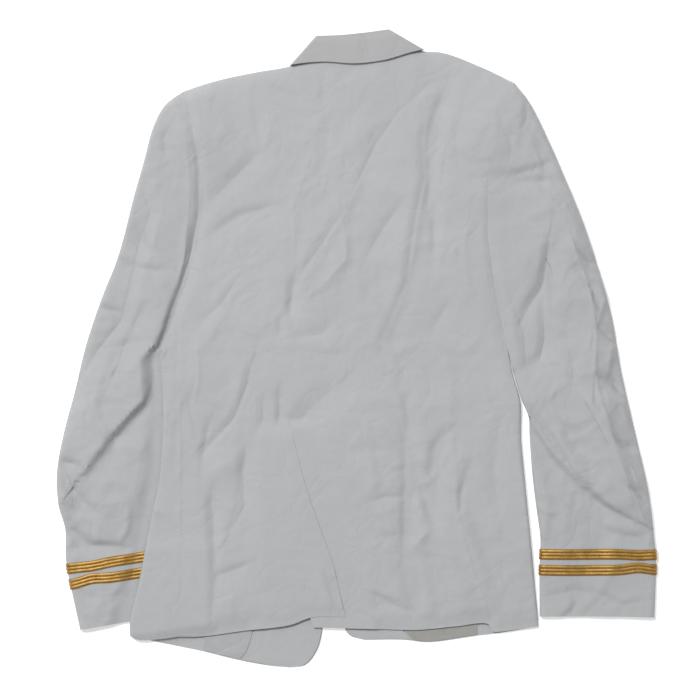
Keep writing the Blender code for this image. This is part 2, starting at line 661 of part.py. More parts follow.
def sleeve_rows(name):
    """Rows down a sleeve's edge, with rows at the lace's edges near the cuff."""
    length = DENSE[name][1][-1]
    lace_edges = sorted((edge for row in LACE_ROWS for edge in row[1:]), reverse=True)
    from_cuff = [CUFF_ZONE, *lace_edges, LACE_ROWS[0][1] / 2, 0.0]
    upper = shares(SLEEVE_ROWS) * (1 - CUFF_ZONE / length)
    return along(name, np.concatenate([upper[:-1], 1 - np.array(from_cuff) / length]))


def seam_share(table):
    places, values = zip(*table)
    return lambda v: np.interp(v, places, values)


ELBOW_SEAMS = {
    # share down the sleeve, share across from its outer edge
    "left": ((0, 0.2), (0.35, 0.25), (0.6, 0.2), (0.75, 0.1), (1, 0.08)),
    "right": ((0, 0.22), (0.3, 0.29), (0.5, 0.36), (0.72, 0.18), (0.86, 0.09), (1, 0.08)),
}
UNDERARM_SEAM = 0.8


def sleeves():
    for side in ("left", "right"):
        outer_edge = sleeve_rows(f"sleeve_{side}_outer")
        inner_edge = sleeve_rows(f"sleeve_{side}_inner")
        start = lambda u, s=side: along_both(f"armhole_{s}", f"underarm_{s}", u)
        end = lambda u, s=side: along(f"cuff_{s}", u)
        cuff_line = along(f"cuff_{side}", shares(1))

        def low(x, y, line=cuff_line):
            signed, _ = distance_to(line, x, y)
            return (TRIM_WALL + SEAM_GAP) * (1 - smooth_step((np.abs(signed) - CUFF_ZONE + 8) / 40))

        seam = seam_share(ELBOW_SEAMS[side])
        under = [(seam, SEAM_GAP, 1.0, 1)]
        under += [(lambda v, f=seam, t=t: f(v) + (0.95 - f(v)) * t, 0, 1.0, 1) for t in shares(9)[1:-1]]
        under += turn_samples(1, True) + [(0.88, 0, -1.0, 1), (UNDERARM_SEAM, SEAM_GAP, -1.0, 1)]
        upper = [(UNDERARM_SEAM, -SEAM_GAP, -1.0, 1)]
        upper += [(share, 0, -1.0, 1) for share in (0.66, 0.52, 0.38, 0.24, 0.12)]
        upper += turn_samples(0, False)
        upper += [(lambda v, f=seam: f(v) * 0.55, 0, 1.0, 1), (seam, -SEAM_GAP, 1.0, 1)]
        rings = {}
        for piece, samples in (("under", under), ("upper", upper)):
            outer, inner = ring_strip(
                samples, outer_edge, inner_edge, start, end, low, sleeve_top, SLEEVE_WALL)
            rings[piece] = outer.copy()
            shift_start(outer, inner)
            wall_solid(f"sleeve_{side}_{piece}", outer, inner, "cloth")
        whole = np.concatenate([rings["under"], rings["upper"]], axis=1)
        add_lace(side, whole)


def shift_start(outer, inner):
    """Room at the armhole."""
    way = outer[1, :, :2] - outer[0, :, :2]
    way = SEAM_GAP * way / np.linalg.norm(way, axis=-1, keepdims=True)
    outer[0, :, :2] += way
    inner[0, :, :2] += way


def add_lace(side, ring):
    """Two rows of lace go right round the cuff, made from the sleeve's own points, moved out."""
    first = len(ring) - 2 - 2 * len(LACE_ROWS)
    for order, (label, _, _) in enumerate(reversed(LACE_ROWS)):
        band = ring[first + 2 * order:first + 2 * order + 2]
        way = ring_normals(band)
        inner = band + SEAM_GAP * way
        outer = band + (SEAM_GAP + TRIM_WALL) * way
        wall_solid(f"lace_{side}_{label}", outer, inner, "lace", ring=True)


def ring_normals(band):
    """Outward directions round a ring of points, in the ring's own plane."""
    around = np.roll(band, -1, axis=1) - np.roll(band, 1, axis=1)
    down = (band[-1] - band[0])[None]
    normal = np.cross(around, down)
    normal /= np.linalg.norm(normal, axis=-1, keepdims=True)
    middle = band.mean(axis=1, keepdims=True)
    outward = np.sign(((band - middle) * normal).sum())
    return normal * outward


COLLAR_ENDS = {
    # the collar's end on the underside: inner corner, outer corner, and a point half way to each
    "left": (((-60, 300), (-52, 262)), ((-92, 306), (-90, 268))),
    "right": (((50, 312), (50, 272)), ((94, 312), (94, 274))),
}
COLLAR_ROWS = 3
COLLAR_COLUMNS = 12
STAND_ROLL = ((-40, 367), (4, 370), (38, 374))
STAND_NECK = ((-58, 349), (-30, 357.5), (4, 361), (36, 364.5), (58, 365))


def collar():
    """The fall shows over the back's neck, turns over at each side and ends on the underside."""
    v = shares(COLLAR_ROWS)[:, None]
    roll, lower = np.array(LINES["collar_roll"]), np.array(LINES["collar_lower"])
    left_fold = (1 - v) * roll[0] + v * lower[0]
    right_fold = (1 - v) * roll[-1] + v * lower[-1]
    start = lambda u: along("collar_roll", u)
    end = lambda u: along("collar_lower", u)
    low = lambda x, y: np.zeros(np.shape(x))

    def high(x, y):
        """The fall lies on the back, and drops at its rolled edge."""
        signed, _ = distance_to(LINES["collar_roll"], x, y)
        return LOFT + COLLAR_RISE - COLLAR_ROLL_DROP * (1 - smooth_step(np.abs(signed) / COLLAR_ROLL_WIDTH))

    samples = turn_samples(0, False, COLLAR_ROUND)
    samples += [(s, 0, 1.0, 1) for s in shares(COLLAR_COLUMNS)[1:-1]]
    samples += turn_samples(1, True, COLLAR_ROUND)
    outer, inner = ring_strip(samples, left_fold, right_fold, start, end, low, high, COLLAR_WALL)
    parts_outer, parts_inner = [outer], [inner]
    for side, edge, at_start in (("left", outer[:, 0], True), ("right", outer[:, -1], False)):
        (mid_in, end_in), (mid_out, end_out) = COLLAR_ENDS[side]
        leaf = []
        for corner_in, corner_out in ((mid_in, mid_out), (end_in, end_out)):
            row = (1 - v) * np.array(corner_in) + v * np.array(corner_out)
            leaf.append(np.concatenate([row, np.zeros((len(v), 1))], axis=1))
        leaf = np.stack(leaf, axis=1)
        raised = leaf + np.array([0, 0, COLLAR_WALL])
        if at_start:
            parts_outer.insert(0, leaf[:, ::-1])
            parts_inner.insert(0, raised[:, ::-1])
        else:
            parts_outer.append(leaf)
            parts_inner.append(raised)
    wall_solid("collar", np.concatenate(parts_outer, axis=1), np.concatenate(parts_inner, axis=1), "cloth")


def collar_stand():
    """The stand rises from the neck seam inside the fall."""
    u = 0.06 + 0.88 * shares(8)
    bottom = read_line(dense_line(np.array(STAND_NECK, float)), u)
    top = read_line(dense_line(np.array(STAND_ROLL, float)), u)
    plan = np.stack([top, 0.5 * (top + bottom), bottom])
    panel("collar_stand", plan, lambda x, y: np.full(np.shape(x), LOFT + STAND_RISE), COLLAR_WALL)


LAPELS = {
    # the roll line and the outer edge, each from the break up to the notch
    "left": {"roll": ((-20, 104), (-44, 190), (-60, 256)), "edge": ((-24, 98), (-92, 150), (-112, 236))},
    "right": {"roll": ((-16, 104), (16, 190), (44, 262)), "edge": ((-12, 98), (68, 150), (108, 240))},
}


def lapels():
    for side, lines in LAPELS.items():
        roll = read_line(dense_line(np.array(lines["roll"], float)), shares(8))
        edge = read_line(dense_line(np.array(lines["edge"], float)), shares(8))
        plan = np.stack([roll, 0.5 * (roll + edge), edge], axis=1)
        panel(f"lapel_{side}", plan, lambda x, y: np.full(np.shape(x), LAPEL_WALL), LAPEL_WALL)


def buttons():
    """Plain round buttons down the centre front, on the underside."""
    for order in range(BUTTON_COUNT):
        middle = (BUTTON_TOP[0], BUTTON_TOP[1] - order * BUTTON_PITCH, BUTTON_HEIGHT / 2)
        bpy.ops.mesh.primitive_cylinder_add(
            vertices=24, radius=BUTTON_RADIUS * MM, depth=BUTTON_HEIGHT * MM,
            location=[value * MM for value in middle],
        )
        button = bpy.context.object
        button.name = f"button_{order + 1}"
        button.data.name = button.name
        button.data.materials.append(material("button"))
        bevel = button.modifiers.new("Edge", "BEVEL")
        bevel.width = BUTTON_BEVEL * MM
        bevel.segments = 1
        bevel.limit_method = "ANGLE"


def main():
    for obj in list(bpy.data.objects):
        bpy.data.objects.remove(obj)
    back_panels()
    hem_insides(front_panels())
    side_panels()
    sleeves()
    collar()
    collar_stand()
    lapels()
    buttons()


main()
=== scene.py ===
# Naval service dress jacket laid flat on its front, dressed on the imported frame.
# Plan sizes are in millimetres: x across the garment, y towards the collar, z up from the table.
import math

import bpy
import numpy as np
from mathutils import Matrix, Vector


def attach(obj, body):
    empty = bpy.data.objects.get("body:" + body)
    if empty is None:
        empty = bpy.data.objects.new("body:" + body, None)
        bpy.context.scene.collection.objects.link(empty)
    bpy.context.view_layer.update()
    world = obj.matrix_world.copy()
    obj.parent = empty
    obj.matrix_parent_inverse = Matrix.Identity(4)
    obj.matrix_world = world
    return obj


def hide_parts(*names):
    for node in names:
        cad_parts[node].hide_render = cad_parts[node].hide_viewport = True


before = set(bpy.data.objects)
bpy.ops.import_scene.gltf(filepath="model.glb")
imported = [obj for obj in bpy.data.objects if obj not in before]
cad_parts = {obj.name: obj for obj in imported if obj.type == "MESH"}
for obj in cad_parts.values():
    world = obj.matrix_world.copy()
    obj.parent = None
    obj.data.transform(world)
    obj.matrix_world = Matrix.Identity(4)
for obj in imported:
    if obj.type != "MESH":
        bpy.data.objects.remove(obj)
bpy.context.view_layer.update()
mm = 0.001

# what a user would change about the cloth as a whole
cloth = {
    "step": 2.0,            # size of a mesh cell on the outside
    "hiddenStep": 3.4,      # and on what lies underneath
    "wall": 0.9,            # thickness of one layer
    "seamGap": 0.015,
    "seamDip": 0.12,        # how far the cloth sinks into a seam
    "loft": 8.8,            # height of the back where nothing swells it
    "layerGap": 0.5,
    "crumple": 1.05,        # height of the uneven crumple
    "sleeveCrumple": 2.0,   # how much more the sleeves have
    "creaseHeight": {       # how much taller than listed the creases of each part are
        "leftSleeve": 1.9, "upperBack": 1.3, "rightBack": 1.4,
        "rightSleeve": 2.0, "leftSkirt": 1.8, "rightSkirt": 2.0,
    },
    "creaseWidth": 2.1,     # how much wider than listed
    "creaseLine": 0.2,      # the share of a crease that is its sharp line
}

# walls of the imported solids, which set where each layer lies
solidWalls = {"back": 1.8, "front": 1.6, "sleeve": 1.6, "collar": 1.4, "trim": 0.9}

photo = {"pixel": 1.2, "middle": (356.5, 348.5)}   # millimetres in a pixel, and the pixel over the origin

# Seams and edges in plan, as the solids have them
planLines = {
    "neckLeft": ((-62, 346), (-34, 355), (2, 358)),
    "neckRight": ((64, 361), (38, 361), (2, 358)),
    "shoulderLeft": ((-208, 309), (-170, 321), (-119, 332), (-84, 338), (-62, 346)),
    "shoulderRight": ((190, 319), (145, 340), (104, 355), (80, 357), (64, 361)),
    "armholeLeft": ((-208, 309), (-200, 277), (-191, 232), (-185, 190), (-188, 148), (-202, 88), (-217, 49)),
    "underarmLeft": ((-217, 49), (-226, 22), (-237, -2)),
    "armholeRight": ((190, 319), (178, 292), (166, 244), (157, 208), (155, 160), (160, 104), (167, 58)),
    "underarmRight": ((167, 58), (173, 28), (181, 4)),
    "sideSeamLeftWaist": ((-217, 49), (-214, -14), (-211, -62), (-210, -116)),
    "sideSeamLeftSkirt": ((-210, -116), (-210, -230), (-212, -290), (-214, -346)),
    "edgeLeftWaist": ((-237, -2), (-233, -50), (-233, -111)),
    "edgeLeftSkirt": ((-233, -111), (-237, -158), (-247, -206), (-262, -284), (-272, -328), (-272, -345)),
    "sideSeamRightWaist": ((167, 58), (173, -14), (177, -62), (177, -111)),
    "sideSeamRightSkirt": ((177, -111), (175, -182), (173, -236), (176, -296), (175, -340)),
    "edgeRightWaist": ((181, 4), (188, -32), (197, -64), (198, -110)),
    "edgeRightSkirt": ((198, -110), (203, -164), (209, -224), (214, -278), (218, -320), (219, -334)),
    "centreBackArmhole": ((2, 358), (-5, 274), (-20, 190), (-41, 124), (-62, 58)),
    "centreBackWaist": ((-62, 58), (-76, -14), (-83, -68), (-75, -111)),
    "ventEdge": ((-75, -111), (-67, -143), (-55, -184), (-38, -231), (-27, -263), (-20, -295), (-13, -322)),
    "underlap": ((-103, -126), (-82, -218), (-65, -290), (-52, -335)),
    "hemBackLeft": ((-214, -346), (-188, -346), (-134, -339), (-80, -332), (-54, -323), (-13, -322)),
    "hemBackRight": ((175, -340), (164, -340), (158, -331), (118, -334), (74, -338), (22, -337), (-52, -335)),
    "hemSideLeft": ((-272, -345), (-262, -350), (-236, -349), (-214, -346)),
    "hemSideRight": ((219, -334), (197, -337), (175, -340)),
    "frontSeamLeftWaist": ((-202, 90), (-194, 22), (-184, -62), (-181, -116)),
    "frontSeamLeftSkirt": ((-181, -116), (-181, -230), (-184, -364)),
    "frontSeamRightWaist": ((160, 102), (155, 22), (148, -62), (145, -111)),
    "frontSeamRightSkirt": ((145, -111), (145, -230), (146, -345)),
    "hemUnderLeft": ((-272, -345), (-243, -352), (-184, -364)),
    "hemUnderRight": ((219, -334), (172, -342), (146, -345)),
    "hemFrontLeft": ((-184, -364), (-139, -375), (-104, -381), (-80, -383)),
    "hemFrontRight": ((146, -345), (86, -353), (58, -350), (10, -350)),
    "rollLeft": ((-62, 346), (-52, 280), (-8, 58)),
    "rollRight": ((64, 361), (50, 280), (-32, 58)),
    "frontEdgeLeftWaist": ((-8, 58), (-5, -30), (-5, -111)),
    "frontEdgeLeftSkirt": (
        (-5, -111), (-20, -218), (-37, -290), (-41, -340), (-47, -362), (-61, -380), (-80, -383),
    ),
    "frontEdgeRightWaist": ((-32, 58), (-35, -30), (-36, -111)),
    "frontEdgeRightSkirt": ((-36, -111), (-32, -218), (-19, -290), (-14, -337), (-8, -345), (10, -350)),
    "sleeveLeftOuter": (
        (-208, 309), (-230, 292), (-244, 266), (-255, 226), (-267, 184), (-286, 112), (-307, 58), (-325, 4),
        (-338, -50), (-352, -104), (-360, -150), (-358, -188), (-350, -218), (-349, -254), (-332, -338),
    ),
    "sleeveLeftInner": ((-237, -2), (-221, -62), (-206, -146), (-197, -230), (-195, -316)),
    "cuffLeft": ((-332, -338), (-290, -331), (-195, -316)),
    "sleeveRightOuter": (
        (190, 319), (208, 295), (232, 247), (249, 208), (272, 152), (295, 82), (307, 37), (319, -32),
        (337, -110), (351, -173), (358, -230), (360, -254), (358, -323),
    ),
    "sleeveRightInner": (
        (183, 4), (191, -32), (200, -62), (208, -83), (209, -104), (212, -152), (217, -196), (221, -228),
        (220, -266), (220, -322),
    ),
    "cuffRight": ((358, -323), (300, -322), (220, -322)),
    "collarRoll": ((-49, 375), (-20, 376), (10, 379), (40, 383)),
    "collarLower": ((-80, 340), (-59, 343), (-38, 344), (-2, 342), (33, 346), (64, 355), (81, 359)),
}

# Swells of the whole garment
swells = {
    # x, y, radiusX, radiusY, height
    "centre front stack": (-20, -60, 90, 250, 3.0),
    "shoulder pad left": (-196, 262, 50, 58, 9.0),
    "shoulder pad right": (172, 268, 50, 58, 9.0),
    "upper sleeve left": (-242, 120, 34, 110, 4.5),
    "upper sleeve right": (236, 110, 38, 130, 4.5),
    "elbow left": (-318, -95, 36, 70, 4.0),
    "elbow right": (285, -80, 40, 80, 4.0),
    "cuff left": (-270, -300, 80, 45, -2.2),
    "cuff right": (285, -300, 80, 45, -2.2),
    "side left": (-222, -60, 16, 80, 1.6),
    "side right": (186, -30, 14, 70, 1.6),
}

# The largest folds: route, width left of the route, width right of it, height
folds = {
    "long shadow fold": (((110, 312), (98, 272), (92, 226), (88, 184)), 7, 16, -3.2),
    "long fold beside it": (((86, 214), (76, 178), (66, 112), (52, 60), (34, 16)), 6, 18, 2.6),
    "right blade fold": (((97, 178), (93, 130), (91, 88)), 6, 14, -2.2),
    "shoulder to middle ridge": (((-74, 70), (-44, 118), (-20, 156), (-4, 192), (12, 240)), 20, 8, 2.4),
    "middle crease": (((-74, 136), (-75, 82), (-78, 52), (-74, 36)), 6, 9, -2.4),
    "lower middle crease": (((-70, 14), (-44, 20), (-30, 36), (-18, 46)), 12, 6, -1.6),
    "upper left diagonal": (((-188, 168), (-150, 200), (-128, 222), (-118, 250)), 14, 10, -1.8),
    "left blade diagonal": (((-172, 140), (-140, 160), (-100, 168)), 7, 14, -1.8),
    "left waist diagonal": (((-185, 4), (-160, 42), (-146, 76)), 14, 8, 1.8),
    "left hip ridge": (((-188, -136), (-162, -110), (-144, -80), (-138, -30)), 8, 16, 2.4),
    "left hip second ridge": (((-176, -152), (-150, -136), (-128, -116)), 9, 12, 2.0),
    "left tail dart": (((-97, -116), (-110, -146), (-120, -170), (-136, -194), (-150, -214)), 18, 8, 2.6),
    "left tail trough": (((-172, -188), (-176, -218), (-175, -254)), 9, 7, -2.4),
    "lower left crease": (((-132, -118), (-132, -168)), 6, 8, -2.0),
    "waist crease at the vent": (((-88, -76), (-90, -106), (-78, -128)), 7, 7, -2.6),
    "vent swell": (((-8, -72), (-50, -108), (-40, -160)), 16, 16, 1.8),
    "vent foot fold": (((-22, -282), (-4, -286), (14, -298), (46, -306)), 6, 14, -2.0),
    "right middle trough": (((62, -110), (62, -180), (61, -250), (70, -300), (74, -334)), 9, 12, -2.4),
    "right tail dart": (((84, -172), (92, -200), (96, -214)), 10, 7, -2.4),
    "right hip dart": (((114, -118), (102, -136), (94, -150)), 8, 12, -2.0),
    "right overlap fold": (
        ((122, -142), (121, -178), (120, -204), (134, -244), (146, -284), (160, -330)), 5, 20, -3.0,
    ),
    "right overlap crown": (((104, -214), (116, -250), (128, -290), (140, -328)), 18, 12, 1.8),
    "left sleeve elbow fold": (
        ((-238, -2), (-251, -50), (-257, -63), (-272, -78), (-300, -110), (-328, -149)), 2.6, 44, 9.5,
    ),
    "left sleeve inner trough": (
        ((-232, -16), (-244, -58), (-251, -71), (-267, -87), (-295, -120), (-322, -156)), 15, 4, -4.4,
    ),
    "left elbow crease": (((-356, -144), (-350, -166), (-336, -182), (-322, -194)), 8, 6, -3.0),
    "left elbow lower fold": (((-349, -212), (-332, -230), (-310, -240), (-286, -238)), 7, 12, -2.6),
    "right sleeve elbow fold": (((210, -86), (236, -124), (266, -158), (298, -184), (336, -206)), 34, 3, 6.4),
    "right sleeve inner trough": (
        ((206, -96), (232, -134), (262, -168), (294, -192), (326, -208)), 5, 14, -3.2,
    ),
    "right outer ridge": (((278, -66), (296, -92), (312, -136), (326, -176), (346, -204)), 10, 7, 3.0),
    "right sleeve shadow": (((244, 136), (230, 100), (220, 82), (202, 42)), 10, 8, -3.4),
    "right sleeve upright fold": (((228, 84), (226, 4), (220, -18)), 7, 12, -2.6),
    "right sleeve head crease": (((172, 202), (206, 202), (234, 202)), 8, 8, -1.8),
    "right sleeve head ridge": (((226, 186), (244, 160), (262, 132)), 7, 9, 2.4),
    "left sleeve head crease": (((-262, 150), (-258, 128), (-246, 110)), 8, 8, -2.4),
    "left armhole groove": (((-194, 140), (-200, 96), (-216, 52), (-236, 0)), 7, 6, -1.6),
    "right armhole groove": (((160, 104), (168, 50), (182, -2), (198, -62)), 7, 10, -2.4),
}

def smoothStep(value):
    t = np.clip(value, 0.0, 1.0)
    return t * t * (3 - 2 * t)


def denseLine(points):
    # a smooth line through the points, closely sampled, with the length run at each sample
    points = np.array(points, float)
    if len(points) == 2:
        fine = points[0] + np.linspace(0, 1, 60)[:, None] * (points[1] - points[0])
    else:
        step = np.sqrt(np.linalg.norm(np.diff(points, axis=0), axis=1))
        knots = np.concatenate([[0], np.cumsum(step)])
        slope = np.gradient(points, knots, axis=0, edge_order=1)
        at = np.linspace(0, knots[-1], 50 * len(points))
        span = np.clip(np.searchsorted(knots, at, side="right") - 1, 0, len(points) - 2)
        width = (knots[span + 1] - knots[span])[:, None]
        t = ((at - knots[span]) / width[:, 0])[:, None]
        fine = (
            (2 * t**3 - 3 * t**2 + 1) * points[span]
            + (t**3 - 2 * t**2 + t) * width * slope[span]
            + (3 * t**2 - 2 * t**3) * points[span + 1]
            + (t**3 - t**2) * width * slope[span + 1]
        )
    run = np.concatenate([[0], np.cumsum(np.linalg.norm(np.diff(fine, axis=0), axis=1))])
    return fine, run


dense = {name: denseLine(points) for name, points in planLines.items()}


def readLine(line, share):
    fine, run = line
    at = np.asarray(share, float) * run[-1]
    return np.stack([np.interp(at, run, fine[:, 0]), np.interp(at, run, fine[:, 1])], axis=-1)


def along(name, share):
    return readLine(dense[name], share)


def alongBoth(first, second, share):
    # two lines read as one
    split = dense[first][1][-1] / (dense[first][1][-1] + dense[second][1][-1])
    share = np.asarray(share, float)[..., None]
    start = along(first, np.clip(share[..., 0] / split, 0, 1))
    end = along(second, np.clip((share[..., 0] - split) / (1 - split), 0, 1))
    return np.where(share <= split, start, end)


def lineX(name, y):
    # where a line is across the garment at this height of the plan
    fine, _ = dense[name]
    order = np.argsort(fine[:, 1])
    return np.interp(y, fine[order, 1], fine[order, 0])


def distanceTo(route, x, y):
    # signed distance to a polyline, positive on the left of its direction, and how far along it, 0 to 1
    route = np.array(route, float)
    lengths = np.linalg.norm(np.diff(route, axis=0), axis=1)
    starts = np.concatenate([[0], np.cumsum(lengths)])
    best = np.full(np.shape(x), 1e9)
    signed = np.zeros(np.shape(x))
    share = np.zeros(np.shape(x))
    for i, length in enumerate(lengths):
        (ax, ay), (bx, by) = route[i], route[i + 1]
        ux, uy = (bx - ax) / length, (by - ay) / length
        run = (x - ax) * ux + (y - ay) * uy
        held = np.clip(run, 0, length)
        off = np.hypot(x - ax - held * ux, y - ay - held * uy)
        side = np.where((x - ax) * -uy + (y - ay) * ux >= 0, 1.0, -1.0)
        nearer = off < best
        best = np.where(nearer, off, best)
        signed = np.where(nearer, off * side, signed)
        share = np.where(nearer, (starts[i] + held) / starts[-1], share)
    return signed, share


# how far a fold is worked out, how its ends fade, and how a crease's crest, foot and line are formed
foldForm = {
    "reach": 3.2, "end": 0.08, "fade": 0.6,
    "crest": 0.2, "crestDrop": 0.44, "foot": 0.02, "footDrop": 0.004, "lineWidth": 1.15,
}


def foldHeight(x, y, route, left, right, tall, crisp):
    # a soft fold is a rounded swell; a crisp one has a sharp crest and hollow flanks
    route = np.array(route, float)
    reach = foldForm["reach"] * max(left, right)
    near = (x > route[:, 0].min() - reach) & (x < route[:, 0].max() + reach)
    near &= (y > route[:, 1].min() - reach) & (y < route[:, 1].max() + reach)
    height = np.zeros(np.shape(x))
    if not near.any():
        return height
    signed, share = distanceTo(route, x[near], y[near])
    width = np.where(signed > 0, left, right)
    end = foldForm["end"]
    taper = np.sin(np.pi * np.clip(end + (1 - 2 * end) * share, 0, 1)) ** foldForm["fade"]
    if crisp:
        off = np.sqrt(signed**2 + foldForm["crest"]) - foldForm["crestDrop"]
        facet = 1 - off / (cloth["creaseWidth"] * width)
        facet = 0.5 * (facet + np.sqrt(facet**2 + foldForm["foot"])) - foldForm["footDrop"]
        line = cloth["creaseLine"]
        profile = (1 - line) * facet + line * np.exp(-off / foldForm["lineWidth"])
    else:
        profile = np.exp(-((signed / width) ** 2))
    height[near] = tall * taper * profile
    return height


def gradientNoise(x, y, size, seed):
    # smooth noise, about -0.5 to 0.5, with cells of this size
    u, v = x / size, y / size
    iu, iv = np.floor(u), np.floor(v)
    fu, fv = u - iu, v - iv
    total = np.zeros(np.shape(x))
    for du, weightU in ((0, 1 - smoothStep(fu)), (1, smoothStep(fu))):
        for dv, weightV in ((0, 1 - smoothStep(fv)), (1, smoothStep(fv))):
            turn = np.sin((iu + du) * 127.1 + (iv + dv) * 311.7 + seed * 17.3) * 43758.5453
            angle = 2 * np.pi * (turn - np.floor(turn))
            total += weightU * weightV * (np.cos(angle) * (fu - du) + np.sin(angle) * (fv - dv))
    return total


# The uneven crumple: height, cell size and seed of each noise, and the level that a ridged one turns over at
crumpleForm = {
    "bendX": (14, 46, 3), "bendY": (18, 52, 9), "broad": (2.6, 62, 1), "middle": (1.7, 27, 5),
    "small": (0.5, 11, 8), "patch": (1, 120, 12),
    "broadLevel": 0.42, "middleLevel": 0.38, "patchLevel": 0.55,
    "middleX": -14, "sleevesFrom": 196, "sleevesFade": 40,
}


def crumple(x, y):
    # flat facets that meet in soft uneven ridges, as pressed cloth that was folded away has
    form = crumpleForm

    def noise(name, atX, atY):
        return gradientNoise(atX, atY, *form[name][1:])

    bentX = x + form["bendX"][0] * noise("bendX", x, y)
    bentY = y + form["bendY"][0] * noise("bendY", x, y)
    broad = form["broadLevel"] - np.abs(noise("broad", bentX, bentY))
    middle = form["middleLevel"] - np.abs(noise("middle", bentX, bentY))
    small = noise("small", bentX, bentY)
    patch = smoothStep(noise("patch", x, y) + form["patchLevel"])
    onSleeve = smoothStep((np.abs(x - form["middleX"]) - form["sleevesFrom"]) / form["sleevesFade"])
    strength = cloth["crumple"] * (1 + (cloth["sleeveCrumple"] - 1) * onSleeve)
    return strength * (
        form["broad"][0] * broad + form["middle"][0] * patch * middle + form["small"][0] * patch * small
    )


